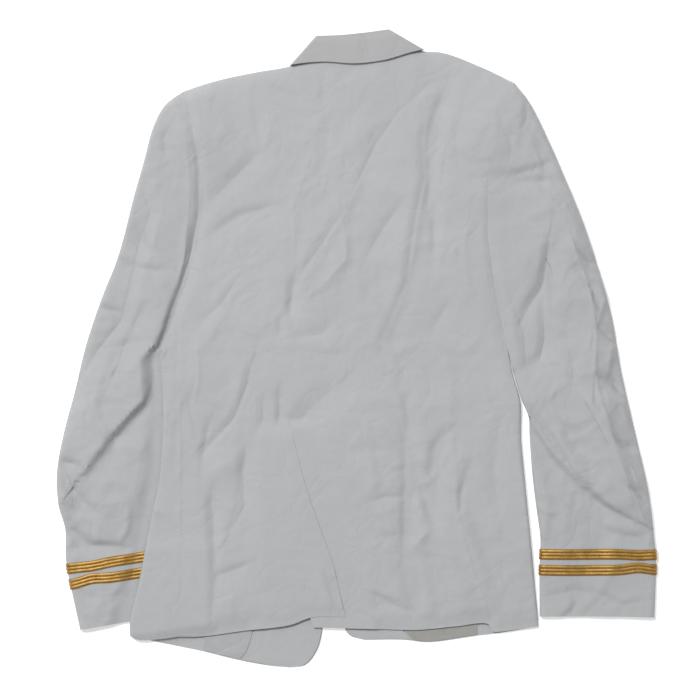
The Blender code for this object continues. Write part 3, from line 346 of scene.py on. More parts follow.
# Creases read from the photograph, in its pixels. Every route runs down or to the right:
# the first width is of the flank on its right or above it, in millimetres, the second is of the
# other flank, and a trough's height is negative
creases = {
    "leftSleeve": (
        (((189, 118), (198, 159), (199, 192), (198, 222)), 5, 2.5, -1.3),
        (((198, 216), (190, 258), (177, 298), (161, 340)), 7, 3, -2.6),
        (((184, 130), (190, 180), (188, 222), (178, 262)), 5, 22, 1.5),
        (((187, 228), (184, 260), (176, 291)), 3, 3, 1.5),
        (((106, 170), (114, 190), (118, 214)), 4, 9, -1.8),
        (((86, 168), (96, 174), (106, 178)), 3, 6, -2.2),
        (((92, 300), (104, 310), (120, 312)), 3, 7, -1.5),
        (
            ((141, 182), (151, 212), (139, 246), (129, 291), (122, 320), (98, 350), (82, 377), (74, 397)),
            6, 19, -2.9,
        ),
        (((124, 232), (139, 245)), 7, 3, -1.8),
        (((140, 268), (155, 270), (168, 269)), 3, 6, -1.5),
        (((99, 349), (122, 346), (144, 340)), 4, 10, -1.6),
        (((170, 126), (164, 139), (167, 156)), 6, 3, -1.4),
        (((61, 460), (67, 463), (76, 464)), 3, 6, -2.6),
        (((62, 465), (73, 491), (90, 510)), 7, 4, -2.8),
        (((70, 507), (83, 513)), 3, 5, -1.6),
        (((127, 498), (128, 516), (126, 531), (118, 543)), 3, 9, 2.0),
        (((66, 526), (83, 543), (92, 547)), 5, 4, -2.4),
        (((77, 547), (100, 546), (122, 547)), 3, 7, -2.4),
        (((120, 553), (129, 548)), 3, 3, -1.2),
        (((95, 593), (106, 608), (115, 622)), 6, 6, 1.3),
        (((130, 330), (118, 366), (104, 398)), 8, 5, -1.2),
        (((100, 405), (112, 432), (116, 452)), 7, 4, -1.4),
        (((150, 300), (136, 322), (128, 350)), 9, 4, -1.2),
        (((88, 430), (104, 440), (124, 436)), 5, 7, -1.2),
        (((86, 500), (104, 505), (124, 500)), 6, 8, 1.2),
        (((70, 585), (90, 598), (118, 596)), 5, 8, -1.0),
    ),
    "upperBack": (
        (((275, 88), (296, 98)), 3, 6, -1.3),
        (((323, 84), (323, 103)), 5, 3, -1.1),
        (((254, 114), (263, 147)), 7, 3, -1.4),
        (((271, 127), (263, 148)), 3, 7, 1.2),
        (((263, 150), (236, 176), (208, 204)), 13, 5, -1.5),
        (((273, 204), (240, 216), (212, 234)), 13, 5, -1.4),
        (((277, 178), (292, 208)), 6, 4, -1.1),
        (((313, 148), (303, 178), (292, 208)), 5, 8, 1.1),
        (((294, 214), (294, 240), (293, 276)), 4, 10, 1.8),
        (((293, 280), (292, 297), (291, 319)), 7, 4, -2.0),
        (((432, 82), (398, 112), (375, 146), (343, 212)), 15, 14, -2.8),
        (((342, 214), (320, 247), (305, 268), (294, 291)), 13, 5, -2.6),
        (((342, 216), (346, 238), (346, 260), (319, 289)), 4, 15, 2.4),
        (((403, 201), (384, 228), (367, 256)), 9, 4, -1.9),
        (((281, 318), (280, 335)), 5, 3, -1.6),
        (((237, 279), (223, 302), (201, 323)), 9, 4, -2.0),
        (((299, 337), (322, 335), (339, 319)), 4, 9, -1.6),
        (((210, 100), (232, 118), (246, 142)), 9, 5, -0.9),
        (((330, 120), (326, 160), (318, 196)), 9, 5, -0.9),
        (((228, 240), (248, 262), (262, 290)), 7, 5, -1.0),
        (((350, 280), (372, 300), (384, 330)), 5, 7, 1.0),
        (((240, 330), (262, 352), (290, 360)), 5, 9, -1.0),
        (((302, 350), (332, 356), (356, 350)), 4, 8, -1.0),
    ),
    "rightBack": (
        (((443, 94), (435, 118), (431, 150), (429, 205)), 9, 3.5, -2.8),
        (((422, 136), (424, 178), (415, 221), (406, 283), (381, 343)), 10, 4, -2.4),
        (((434, 206), (434, 255)), 6, 3, -1.4),
        (((447, 148), (442, 186)), 6, 3, -1.3),
        (((451, 300), (434, 327)), 8, 4, -1.3),
        (((470, 210), (464, 250), (468, 290)), 5, 10, 1.0),
        (((392, 340), (404, 372), (402, 396)), 8, 5, -1.1),
        (((440, 350), (452, 384), (448, 420)), 5, 9, 1.1),
        (((462, 110), (456, 140), (459, 168)), 8, 4, -1.1),
    ),
    "rightSleeve": (
        (((488, 184), (488, 238), (495, 287), (505, 336), (514, 376)), 5, 3, -1.2),
        (((487, 176), (517, 174), (538, 168), (552, 161)), 3, 9, -2.0),
        (((508, 184), (554, 180)), 3, 7, -1.5),
        (((526, 99), (527, 118), (521, 131)), 7, 3, -1.5),
        (((541, 186), (556, 206), (571, 236)), 5, 6, -2.8),
        (((550, 186), (563, 204), (578, 232)), 5, 5, 2.2),
        (((549, 238), (544, 285), (525, 313)), 13, 4, -3.0),
        (((544, 285), (545, 340), (540, 360), (522, 367)), 10, 4, -2.2),
        (((551, 254), (553, 286), (551, 318)), 10, 5, 1.6),
        (((546, 176), (560, 212), (576, 252), (590, 292), (596, 330), (594, 372)), 11, 26, 5.6),
        (((594, 360), (598, 392), (610, 430), (622, 470), (640, 508)), 10, 22, 4.8),
        (((580, 276), (598, 280), (606, 296), (598, 322)), 3, 7, 2.8),
        (((574, 262), (592, 290), (604, 318)), 6, 3, -2.4),
        (((598, 332), (612, 344), (608, 372)), 3, 6, 2.6),
        (((566, 192), (582, 224)), 4, 5, 2.0),
        (((578, 250), (590, 262), (604, 264)), 4, 2.5, -3.0),
        (((596, 326), (610, 340), (620, 346)), 4, 2.5, -3.2),
        (((598, 376), (614, 384), (626, 398)), 4, 2.5, -3.2),
        (((606, 396), (622, 404), (630, 424)), 3, 6, 2.6),
        (((590, 400), (605, 423), (622, 468), (630, 497)), 4, 7, 2.6),
        (((610, 432), (624, 446), (638, 450)), 4, 2.5, -3.2),
        (((620, 452), (632, 468), (640, 488)), 3, 5, 2.4),
        (((626, 486), (638, 492), (648, 504)), 4, 2.5, -2.8),
        (((528, 406), (549, 435), (573, 474), (603, 504), (634, 521)), 3, 4, -2.6),
        (((570, 590), (577, 600), (572, 612), (560, 619)), 9, 3, -1.8),
        (((606, 596), (620, 606), (640, 602)), 3, 9, -1.3),
        (((600, 600), (588, 612), (580, 626)), 10, 4, -1.1),
        (((500, 120), (512, 146), (508, 168)), 8, 5, -1.1),
        (((560, 330), (574, 362), (572, 392)), 9, 5, -1.3),
        (((538, 470), (548, 500), (546, 530)), 5, 9, 1.1),
        (((590, 520), (612, 533), (640, 538)), 4, 8, -1.6),
        (((512, 300), (524, 330), (526, 362)), 8, 5, -1.1),
        (((560, 420), (576, 446), (592, 470)), 7, 5, -1.2),
        (((545, 598), (575, 590), (606, 596)), 4, 8, -1.0),
    ),
    "leftSkirt": (
        (((197, 343), (199, 372), (195, 402)), 16, 12, 2.4),
        (((210, 421), (202, 456)), 8, 3.5, -1.9),
        (((251, 367), (248, 383), (239, 407), (233, 420), (217, 437), (200, 457), (181, 487)), 13, 4, -2.8),
        (((281, 440), (270, 463), (257, 483), (247, 503), (230, 531)), 17, 5, -3.0),
        (((245, 444), (247, 473), (243, 501)), 9, 6, -2.2),
        (((263, 402), (263, 440), (260, 478)), 9, 4, -2.2),
        (((280, 388), (279, 430)), 5, 3, -1.9),
        (((332, 389), (310, 410), (290, 433), (281, 441)), 19, 9, -3.2),
        (((212, 490), (210, 537), (207, 565)), 8, 4, -2.2),
        (((180, 588), (213, 578), (257, 561)), 3, 10, -1.6),
        (((200, 583), (192, 616), (187, 650)), 12, 8, -1.4),
        (((311, 549), (318, 561)), 5, 3, -1.4),
        (((318, 566), (326, 590), (335, 614)), 3, 6, 1.5),
        (((181, 345), (180, 520), (179, 637)), 2.5, 2.5, 0.6),
        (((185, 422), (185, 432)), 4, 3, -1.5),
        (((270, 520), (264, 560), (262, 604)), 10, 5, -1.0),
        (((196, 380), (190, 404), (178, 426)), 8, 4, -1.0),
        (((226, 560), (232, 590), (230, 624)), 5, 10, 0.9),
    ),
    "rightSkirt": (
        (((307, 487), (330, 489)), 3, 6, -0.9),
        (((311, 502), (323, 504)), 3, 4, -0.8),
        (((342, 530), (362, 531)), 3, 5, -0.7),
        (((366, 503), (387, 497), (408, 497)), 3, 7, -1.0),
        (((380, 468), (407, 472)), 3, 6, -0.6),
        (((382, 537), (401, 535)), 3, 5, -0.7),
        (((339, 580), (365, 596), (396, 606), (413, 613)), 4, 12, -2.4),
        (((407, 398), (409, 440), (408, 463), (407, 543), (413, 603), (417, 628)), 7, 4, -2.4),
        (((397, 415), (410, 463)), 5, 10, -1.4),
        (((428, 530), (411, 550)), 4, 5, 1.6),
        (((413, 463), (424, 495), (433, 520)), 5, 5, -2.0),
        (((447, 433), (437, 447), (430, 477)), 10, 5, -2.6),
        (((440, 436), (438, 480), (435, 516)), 8, 6, -1.9),
        (((456, 462), (457, 510), (463, 537), (473, 570), (483, 597), (489, 626)), 9, 18, 3.4),
        (((467, 470), (462, 492), (461, 513)), 8, 3, -2.2),
        (((450, 447), (436, 475)), 4, 9, 1.8),
        (((360, 440), (372, 470), (376, 500)), 5, 9, 0.9),
        (((330, 440), (350, 452), (376, 450)), 4, 8, -1.0),
        (((430, 560), (438, 592), (440, 622)), 9, 5, -1.0),
        (((300, 450), (312, 462), (330, 466)), 4, 9, -1.4),
        (((500, 420), (494, 470), (500, 520)), 9, 6, -1.2),
    ),
}


def place(px, py):
    return ((px - photo["middle"][0]) * photo["pixel"], (photo["middle"][1] - py) * photo["pixel"])


def creaseHeights(x, y):
    height = np.zeros(np.shape(x))
    for route, left, right, tall in folds.values():
        height += foldHeight(x, y, route, left, right, tall, False)
    for name, group in creases.items():
        for route, left, right, tall in group:
            route = [place(px, py) for px, py in route]
            height += foldHeight(x, y, route, left, right, tall * cloth["creaseHeight"][name], True)
    return height


def swellHeights(x, y):
    height = np.zeros(np.shape(x))
    for midX, midY, radiusX, radiusY, tall in swells.values():
        height += tall * np.exp(-(((x - midX) / radiusX) ** 2) - ((y - midY) / radiusY) ** 2)
    return height


# Creases of the side that lies down, in millimetres: they rise from the floor
hiddenCreases = (
    (((-150, 250), (-120, 205), (-96, 150), (-84, 96)), 4, 9, 1.3),
    (((-176, 180), (-150, 150), (-118, 130)), 3, 8, 1.1),
    (((-120, 40), (-112, -20), (-118, -90), (-110, -150)), 5, 10, 1.2),
    (((-90, -40), (-76, -100), (-84, -160)), 4, 7, 0.9),
    (((-130, -200), (-100, -216), (-64, -210)), 4, 9, 1.0),
    (((-100, -250), (-92, -300), (-104, -350)), 6, 8, 1.1),
    (((-48, -260), (-60, -300), (-66, -345)), 5, 8, 0.9),
    (((150, 60), (118, 20), (80, -10), (40, -20)), 4, 9, 1.3),
    (((146, -20), (110, -44), (64, -56)), 4, 8, 1.1),
    (((60, -80), (66, -140), (58, -210)), 6, 9, 1.2),
    (((110, -110), (104, -180), (114, -250), (106, -320)), 7, 10, 1.4),
    (((140, -150), (128, -210)), 4, 8, 1.0),
    (((20, -240), (60, -262), (104, -258)), 4, 9, 1.1),
    (((150, 200), (128, 150), (122, 110)), 4, 9, 1.2),
    (((130, 130), (90, 100), (60, 96)), 4, 8, 1.0),
    (((86, -300), (70, -330), (66, -350)), 5, 8, 1.0),
    (((-236, 250), (-228, 190), (-240, 130)), 5, 9, 1.3),
    (((-280, 60), (-250, 30), (-226, 20)), 4, 9, 1.4),
    (((-330, -40), (-300, -70), (-262, -80)), 4, 9, 1.5),
    (((-340, -130), (-300, -150), (-240, -140)), 4, 10, 1.5),
    (((-320, -180), (-300, -220), (-308, -262)), 6, 9, 1.3),
    (((-240, -180), (-226, -220), (-232, -262)), 5, 8, 1.1),
    (((-200, 120), (-214, 60), (-206, 10)), 4, 8, 1.2),
    (((200, 250), (196, 190), (208, 140)), 5, 9, 1.3),
    (((260, 130), (230, 96), (196, 84)), 4, 9, 1.4),
    (((290, 40), (262, 10), (220, 0)), 4, 9, 1.4),
    (((320, -60), (286, -90), (230, -94)), 4, 10, 1.6),
    (((330, -150), (290, -176), (236, -168)), 4, 10, 1.5),
    (((300, -200), (312, -240), (306, -268)), 6, 9, 1.2),
    (((250, -190), (244, -230), (252, -266)), 5, 8, 1.1),
)

# how the layers lie on each other, as in the solids
layers = {
    "sleeveUnderBody": 4.8, "bodyOverSleeve": 6.6, "buttonRise": 2.7, "lapelRise": 1.6, "lapGap": 0.3,
    "underlapTop": 10.2, "underlapFall": 3.0, "hemInsides": 1.8, "edgeRound": 7.0, "shoulderRound": 16.0,
    "highest": 26.6, "highestBlend": 2.5,    # no fold stands higher
    "hiddenCrumple": 0.6,
    "hemPressed": 0.95, "hemWidth": 26.0, "hemSink": 0.2,
}


# what lies under the fronts: the ends of its middle line, half its width, and how far its edge fades
zones = {
    "lapelLeft": ((-30, 60), (-105, 350), 56, 30),
    "lapelRight": ((-10, 60), (104, 350), 60, 30),
    "buttons": ((-20, 40), (-20, -190), 28, 30),
}


def capsule(start, end, full, fade, x, y):
    # 1 inside a band round a line, 0 well outside it
    signed, _ = distanceTo((start, end), x, y)
    return 1 - smoothStep((np.abs(signed) - full) / fade)


def leftArmholeX(y):
    # the armhole above its lowest point, and the underarm below it
    return np.where(y > 49, lineX("armholeLeft", y), lineX("underarmLeft", y))


def overLeftSleeve(x, y):
    # 1 where the left forearm lies under the body
    sleeveEdge = np.where(y > -2, leftArmholeX(y), lineX("sleeveLeftInner", y))
    across = smoothStep((sleeveEdge + 34 - x) / 20)
    cuff = -338 + (x + 332) * 0.16
    return across * smoothStep((y - cuff + 34) / 20) * smoothStep((40 - y) / 40)


def frontSupport(x, y):
    # how far the front is held off the floor
    rise = layers["bodyOverSleeve"] * overLeftSleeve(x, y)
    for zone, height in (("lapelLeft", "lapelRise"), ("lapelRight", "lapelRise"), ("buttons", "buttonRise")):
        rise = np.maximum(rise, layers[height] * capsule(*zones[zone], x, y))
    return rise


def underCrease(x, y):
    # nothing creases where a lapel, a button or the left sleeve lies beneath
    height = np.clip(0.5 * crumple(x, y), 0, layers["hiddenCrumple"])
    for route, first, second, tall in hiddenCreases:
        height = height + foldHeight(x, y, route, first, second, tall, True)
    zone = smoothStep((y + 292) / 20) + smoothStep(-190 - np.abs(x)) + smoothStep((196 - np.abs(x)) / 10)
    return height * (1 - smoothStep(frontSupport(x, y) / 0.4)) * np.clip(zone, 0, 1)


def frontOverlap(x, y):
    # 1 where the left front lies over the right front
    edge = np.interp(y, (-300, -218, -111, 58), (-19, -32, -36, -32))
    across = smoothStep((x - edge + 40) / 22)
    return across * smoothStep((y + 318) / 30) * smoothStep((128 - y) / 24)


def leftFrontSupport(x, y):
    over = solidWalls["front"] + cloth["layerGap"] + layers["lapGap"]
    return frontSupport(x, y) + over * frontOverlap(x, y)


def frontStack(x, y):
    insides = layers["hemInsides"] * smoothStep((-222 - y) / 22)
    return leftFrontSupport(x, y) + underCrease(x, y) + solidWalls["front"] + insides


def underlapTop(y):
    # the flap under the vent's edge falls towards the hem
    return layers["underlapTop"] - layers["underlapFall"] * smoothStep((-230 - y) / 90)


def softMax(a, b, blend=0.8):
    # the larger of two heights, with the meeting rounded
    return 0.5 * (a + b + np.sqrt((a - b) ** 2 + blend * blend)) - 0.1


def clothHeight(x, y):
    height = cloth["loft"] + creaseHeights(x, y) + swellHeights(x, y) + crumple(x, y)
    return -softMax(-height, -layers["highest"], layers["highestBlend"])


def nearest(names, x, y):
    # how far off the nearest of these lines is
    return np.min([np.abs(distanceTo(planLines[name], x, y)[0]) for name in names], axis=0)


def shoulderFall(x, y, height):
    # the back falls to the front along each shoulder's edge
    edgeHeight = frontSupport(x, y) + solidWalls["front"] + cloth["layerGap"] + solidWalls["back"]
    share = np.clip(nearest(("shoulderLeft", "shoulderRight"), x, y) / layers["shoulderRound"], 0, 1)
    return edgeHeight + (height - edgeHeight) * np.sqrt(1 - (1 - share) ** 2)


def bodyTop(x, y):
    gap = cloth["layerGap"]
    vent = smoothStep((-58 - y) / 52) * smoothStep((x + 162) / 52) * smoothStep((60 - x) / 50)
    lapped = (underlapTop(y) + 1.5 * gap + cloth["wall"]) * vent
    needed = np.maximum(frontStack(x, y) + 2 * gap + cloth["wall"], lapped)
    height = softMax(clothHeight(x, y), needed)
    near = nearest(("hemBackLeft", "hemBackRight", "hemSideLeft", "hemSideRight"), x, y)
    pressed = layers["hemPressed"] * (1 - smoothStep(near / layers["hemWidth"]))
    return shoulderFall(x, y, height + (needed - layers["hemSink"] - height) * pressed)


def sleeveTop(x, y):
    height = softMax(clothHeight(x, y), 2 * solidWalls["sleeve"] + 2 * cloth["layerGap"])
    edge = np.where(y > -2, leftArmholeX(y), lineX("edgeLeftSkirt", y))
    edge = np.where((y < -2) & (y > -111), lineX("edgeLeftWaist", y), edge)
    # above the armpit the sleeve meets the body in a narrow crease
    margin = 9 + 17 * smoothStep((6 - y) / 24)
    pressed = smoothStep((x - edge + margin) / (0.7 * margin)) * smoothStep((112 - y) / 40) * (x < 0)
    height = shoulderFall(x, y, height)
    return height + (layers["sleeveUnderBody"] - height) * pressed


def coons(start, end, side0, side1, shareU, shareV):
    # fills four edges: start and end are functions of u, side0 and side1 are rows of points
    v = shareV[:, None, None]
    u = shareU[..., None]
    across = (1 - v) * start(shareU) + v * end(shareU)
    down = (1 - u) * side0[:, None, :] + u * side1[:, None, :]
    flat = (1 - v) * ((1 - u) * side0[0] + u * side1[0]) + v * ((1 - u) * side0[-1] + u * side1[-1])
    return across + down - flat


def rowShares(side):
    # how far down a row of points each is, 0 to 1
    run = np.concatenate([[0], np.cumsum(np.linalg.norm(np.diff(side, axis=0), axis=1))])
    return run / run[-1]


def edgeAt(side, i):
    # picks a grid's row or column this far in from its left, right, top or bottom edge
    every = slice(None)
    return {"l": (every, i), "r": (every, -1 - i), "t": (i, every), "b": (-1 - i, every)}[side]


def inset(grid, gap):
    # draws a grid's edges inwards, to leave room at the seams
    grid = grid.copy()
    for side in "lrtb":
        edge = edgeAt(side, 0)
        way = grid[edgeAt(side, 1)] - grid[edge]
        grid[edge] = grid[edge] + gap * way / np.maximum(np.linalg.norm(way, axis=-1, keepdims=True), 1e-6)
    return grid


def shares(count):
    return np.linspace(0, 1, count + 1)


def linesDown(names, counts):
    # rows of points down lines that follow each other
    rows = [along(names[0], shares(counts[0]))]
    rows += [along(name, shares(count))[1:] for name, count in zip(names[1:], counts[1:])]
    return np.concatenate(rows)


def seamDips(grid, sides):
    # how far each point sinks where its panel is sewn: sides is any of l, r, t, b
    dip = np.zeros(grid.shape[:2])
    for side in sides:
        for i, amount in enumerate((1.0, 0.42, 0.12)):
            at = edgeAt(side, i)
            dip[at] = np.maximum(dip[at], amount)
    return cloth["seamDip"] * dip


def gridUv(grid):
    # lays the grid out flat, in metres: u across, v down
    across = np.linalg.norm(np.diff(grid, axis=1), axis=2)
    down = np.linalg.norm(np.diff(grid, axis=0), axis=2)
    u = np.concatenate([np.zeros((len(grid), 1)), np.cumsum(across, axis=1)], axis=1)
    v = np.concatenate([np.zeros((1, grid.shape[1])), np.cumsum(down, axis=0)], axis=0)
    u -= u[:, u.shape[1] // 2][:, None]
    return np.stack([u, v], axis=-1) * mm


def wallMesh(name, outer, inner, finish, ring=False):
    # a closed wall between two grids of points; a ring's last column meets its first
    rows, columns = outer.shape[:2]
    spans = columns if ring else columns - 1
    half = rows * columns
    j, k = [a.ravel() for a in np.meshgrid(np.arange(rows - 1), np.arange(spans), indexing="ij")]
    closedOuter = np.concatenate([outer, outer[:, :1]], axis=1) if ring else outer
    uv = gridUv(closedOuter)
    quads, places = [], []

    def add(cornerRows, cornerColumns, sides):
        corners = list(zip(cornerRows, cornerColumns, sides))
        quads.append(np.stack([r * columns + c % columns + half * s for r, c, s in corners], axis=1))
        places.append(np.stack([uv[r, c] for r, c, _ in corners], axis=1))

    add((j, j, j + 1, j + 1), (k, k + 1, k + 1, k), (0, 0, 0, 0))
    add((j, j + 1, j + 1, j), (k, k, k + 1, k + 1), (1, 1, 1, 1))
    k = np.arange(spans)
    top, last = np.zeros(spans, int), np.full(spans, rows - 1)
    add((top, top, top, top), (k, k, k + 1, k + 1), (0, 1, 1, 0))
    add((last, last, last, last), (k + 1, k + 1, k, k), (0, 1, 1, 0))
    if not ring:
        j = np.arange(rows - 1)
        first, end = np.zeros(rows - 1, int), np.full(rows - 1, columns - 1)
        add((j, j + 1, j + 1, j), (first, first, first, first), (0, 0, 1, 1))
        add((j + 1, j, j, j + 1), (end, end, end, end), (0, 0, 1, 1))
    quads, places = np.concatenate(quads), np.concatenate(places)
    points = np.concatenate([outer.reshape(-1, 3), inner.reshape(-1, 3)])
    a, b, c, d = (points[quads[:, i]] for i in range(4))
    if np.einsum("ij,ij->", a, np.cross(b, c) + np.cross(c, d)) < 0:
        quads, places = quads[:, ::-1], places[:, ::-1]
    return meshFrom(name, points, quads, places, finish)


def newObject(name, data):
    made = bpy.data.objects.new(name, data)
    bpy.context.scene.collection.objects.link(made)
    return made


def meshFrom(name, points, quads, places, finish):
    mesh = bpy.data.meshes.new(name)
    mesh.vertices.add(len(points))
    mesh.vertices.foreach_set("co", (points * mm).astype(np.float32).ravel())
    mesh.loops.add(quads.size)
    mesh.loops.foreach_set("vertex_index", quads.astype(np.int32).ravel())
    mesh.polygons.add(len(quads))
    mesh.polygons.foreach_set("loop_start", np.arange(0, quads.size, 4, dtype=np.int32))
    mesh.update(calc_edges=True)
    layer = mesh.uv_layers.new(name="cut")
    layer.data.foreach_set("uv", places.astype(np.float32).ravel())
    mesh.shade_smooth()
    mesh.set_sharp_from_angle(angle=math.radians(62))
    mesh.validate()
    mesh.materials.append(finishes[finish])
    return newObject(name, mesh)


def dress(piece, node):
    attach(piece, "root")
    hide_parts(node)


def panelMesh(name, plan, height, sewn, finish="cloth", wall=None):
    # a wall of cloth whose outer face has this height over its plan
    wall = wall or cloth["wall"]
    top = height(plan[..., 0], plan[..., 1]) - seamDips(plan, sewn)
    outer = np.concatenate([plan, top[..., None]], axis=-1)
    inner = np.concatenate([plan, (top - wall)[..., None]], axis=-1)
    return wallMesh(name, outer, inner, finish), outer


# Colours, sizes and roughness of each finish. A colour's dark and bright are its shades, as shares of it
wovenCloth = {
    "roughness": 0.82, "thread": 0.62, "depth": 0.22, "sheen": 0.25,
    "dark": (0.93, 0.935, 0.94), "bright": (1.05, 1.05, 1.045),
}
wovenLining = {**wovenCloth, "roughness": 0.48, "thread": 0.32, "depth": 0.08, "sheen": 0.5}
finishSettings = {
    "cloth": {**wovenCloth, "colour": (0.555, 0.566, 0.578)},
    # painted shade: the sleeves' cloth is a slightly darker copy of the body's, standing in for the shade on
    # the sleeves
    "sleeveClothPaintedShade": {**wovenCloth, "colour": (0.541, 0.551, 0.562)},
    "collarCloth": {**wovenCloth, "colour": (0.52, 0.517, 0.528)},
    "lining": {**wovenLining, "colour": (0.50, 0.51, 0.52)},
    # painted shade: a darker, olive copy of the lining, standing in for the shade that the right front's
    # lining lies in
    "liningPaintedShade": {**wovenLining, "colour": (0.405, 0.4, 0.372)},
    "lace": {
        "colour": (0.62, 0.36, 0.055), "roughness": 0.46, "metallic": 0.5, "twist": 1.1, "width": 12.5,
        "dark": (0.34, 0.24, 0.14), "bright": (1.12, 1.16, 2.0),
    },
    "button": {
        "colour": (0.78, 0.55, 0.2), "roughness": 0.28, "metallic": 1.0, "polished": 0.24, "dull": 0.42,
    },
    "thread": {"colour": (0.62, 0.63, 0.63), "roughness": 0.6},
    "goldThread": {"colour": (0.42, 0.26, 0.05), "roughness": 0.5},
}


def newNode(tree, kind, inputs=None, **settings):
    # an input is given a value, or the socket that it reads
    node = tree.nodes.new(kind)
    for name, value in settings.items():
        setattr(node, name, value)
    for name, value in (inputs or {}).items():
        if isinstance(value, bpy.types.NodeSocket):
            tree.links.new(value, node.inputs[name])
        else:
            node.inputs[name].default_value = value
    return node


def mathNode(tree, operation, *values):
    node = newNode(tree, "ShaderNodeMath", dict(enumerate(values)), operation=operation)
    return node.outputs[0]


def noiseNode(tree, at, scale, detail=2.0, distortion=0.0):
    inputs = {"Vector": at, "Scale": scale, "Detail": detail, "Distortion": distortion}
    return newNode(tree, "ShaderNodeTexNoise", inputs).outputs["Fac"]


def rampNode(tree, source, dark, bright, first=0.0, last=1.0):
    node = newNode(tree, "ShaderNodeValToRGB", {0: source})
    for element, position, colour in zip(node.color_ramp.elements, (first, last), (dark, bright)):
        element.position = position
        element.color = (*colour, 1)
    return node.outputs[0]


def shadeNode(tree, source, settings, first, last):
    # turns a tone into the finish's own colour, from its dark shade to its bright one
    dark, bright = (
        [share * part for share, part in zip(settings[end], settings["colour"])] for end in ("dark", "bright")
    )
    return rampNode(tree, source, dark, bright, first, last)


def bumpNode(tree, source, strength, distance, under=None):
    inputs = {"Height": source, "Strength": strength, "Distance": distance}
    if under:
        inputs["Normal"] = under
    return newNode(tree, "ShaderNodeBump", inputs).outputs[0]


def newSockets(group, sockets):
    for name, kind, way in sockets:
        group.interface.new_socket(name, in_out=way, socket_type=f"NodeSocket{kind}")
    return group.nodes.new("NodeGroupInput").outputs, group.nodes.new("NodeGroupOutput").inputs


def weaveGroup():
    # a plain weave on the cut's own flat map, with slubs, and the soft small crumple of the cloth
    group = bpy.data.node_groups.new("plainWeave", "ShaderNodeTree")
    given, found = newSockets(group, (
        ("Flat", "Vector", "INPUT"), ("Place", "Vector", "INPUT"), ("Thread", "Float", "INPUT"),
        ("Tone", "Float", "OUTPUT"), ("Weave", "Float", "OUTPUT"), ("Crumple", "Float", "OUTPUT"),
    ))
    split = newNode(group, "ShaderNodeSeparateXYZ", {0: given["Flat"]}).outputs
    turns = mathNode(group, "DIVIDE", math.pi / mm, given["Thread"])
    warp, weft = (mathNode(group, "SINE", mathNode(group, "MULTIPLY", split[i], turns)) for i in (0, 1))
    group.links.new(mathNode(group, "MULTIPLY", warp, weft), found["Weave"])
    slubs = []
    for stretch in ((1500, 60, 1), (70, 1300, 1)):
        mapping = newNode(group, "ShaderNodeMapping", {"Vector": given["Flat"], "Scale": stretch})
        slubs.append(noiseNode(group, mapping.outputs[0], 1.0))
    group.links.new(mathNode(group, "MULTIPLY", mathNode(group, "ADD", *slubs), 0.5), found["Tone"])
    soft = noiseNode(group, given["Place"], 30, 3, 0.6)
    lines = noiseNode(group, given["Place"], 17, 1.5, 1.1)    # sharp fold lines where it crosses its middle
    ridge = mathNode(group, "ABSOLUTE", mathNode(group, "SUBTRACT", lines, 0.5))
    sharp = mathNode(group, "POWER", mathNode(group, "MULTIPLY", ridge, 4.0), 0.6)
    patch = mathNode(group, "MULTIPLY", sharp, mathNode(group, "MULTIPLY", soft, 0.9))
    whole = mathNode(group, "ADD", mathNode(group, "MULTIPLY", soft, 0.8), patch)
    group.links.new(whole, found["Crumple"])
    return group


def newFinish(name):
    made = bpy.data.materials.new(name)
    made.use_nodes = True
    tree = made.node_tree
    shader = tree.nodes["Principled BSDF"].inputs
    settings = finishSettings[name]
    shader["Base Color"].default_value = (*settings["colour"], 1)
    shader["Roughness"].default_value = settings["roughness"]
    shader["Metallic"].default_value = settings.get("metallic", 0)
    shader["Sheen Weight"].default_value = settings.get("sheen", 0)
    coordinates = tree.nodes.new("ShaderNodeTexCoord").outputs
    return made, tree, shader, settings, coordinates


def clothFinish(name, weave):
    made, tree, shader, settings, coordinates = newFinish(name)
    woven = newNode(tree, "ShaderNodeGroup", node_tree=weave)
    woven.inputs["Thread"].default_value = settings["thread"]
    tree.links.new(coordinates["UV"], woven.inputs["Flat"])
    tree.links.new(coordinates["Object"], woven.inputs["Place"])
    blotch = mathNode(tree, "MULTIPLY", noiseNode(tree, coordinates["Object"], 7, 4), 0.3)
    tone = mathNode(tree, "ADD", mathNode(tree, "MULTIPLY", woven.outputs["Tone"], 0.7), blotch)
    tree.links.new(shadeNode(tree, tone, settings, 0.3, 0.7), shader["Base Color"])
    fine = bumpNode(tree, woven.outputs["Weave"], settings["depth"], 0.0003)
    tree.links.new(bumpNode(tree, woven.outputs["Crumple"], 0.55, 0.0022, fine), shader["Normal"])
    return made


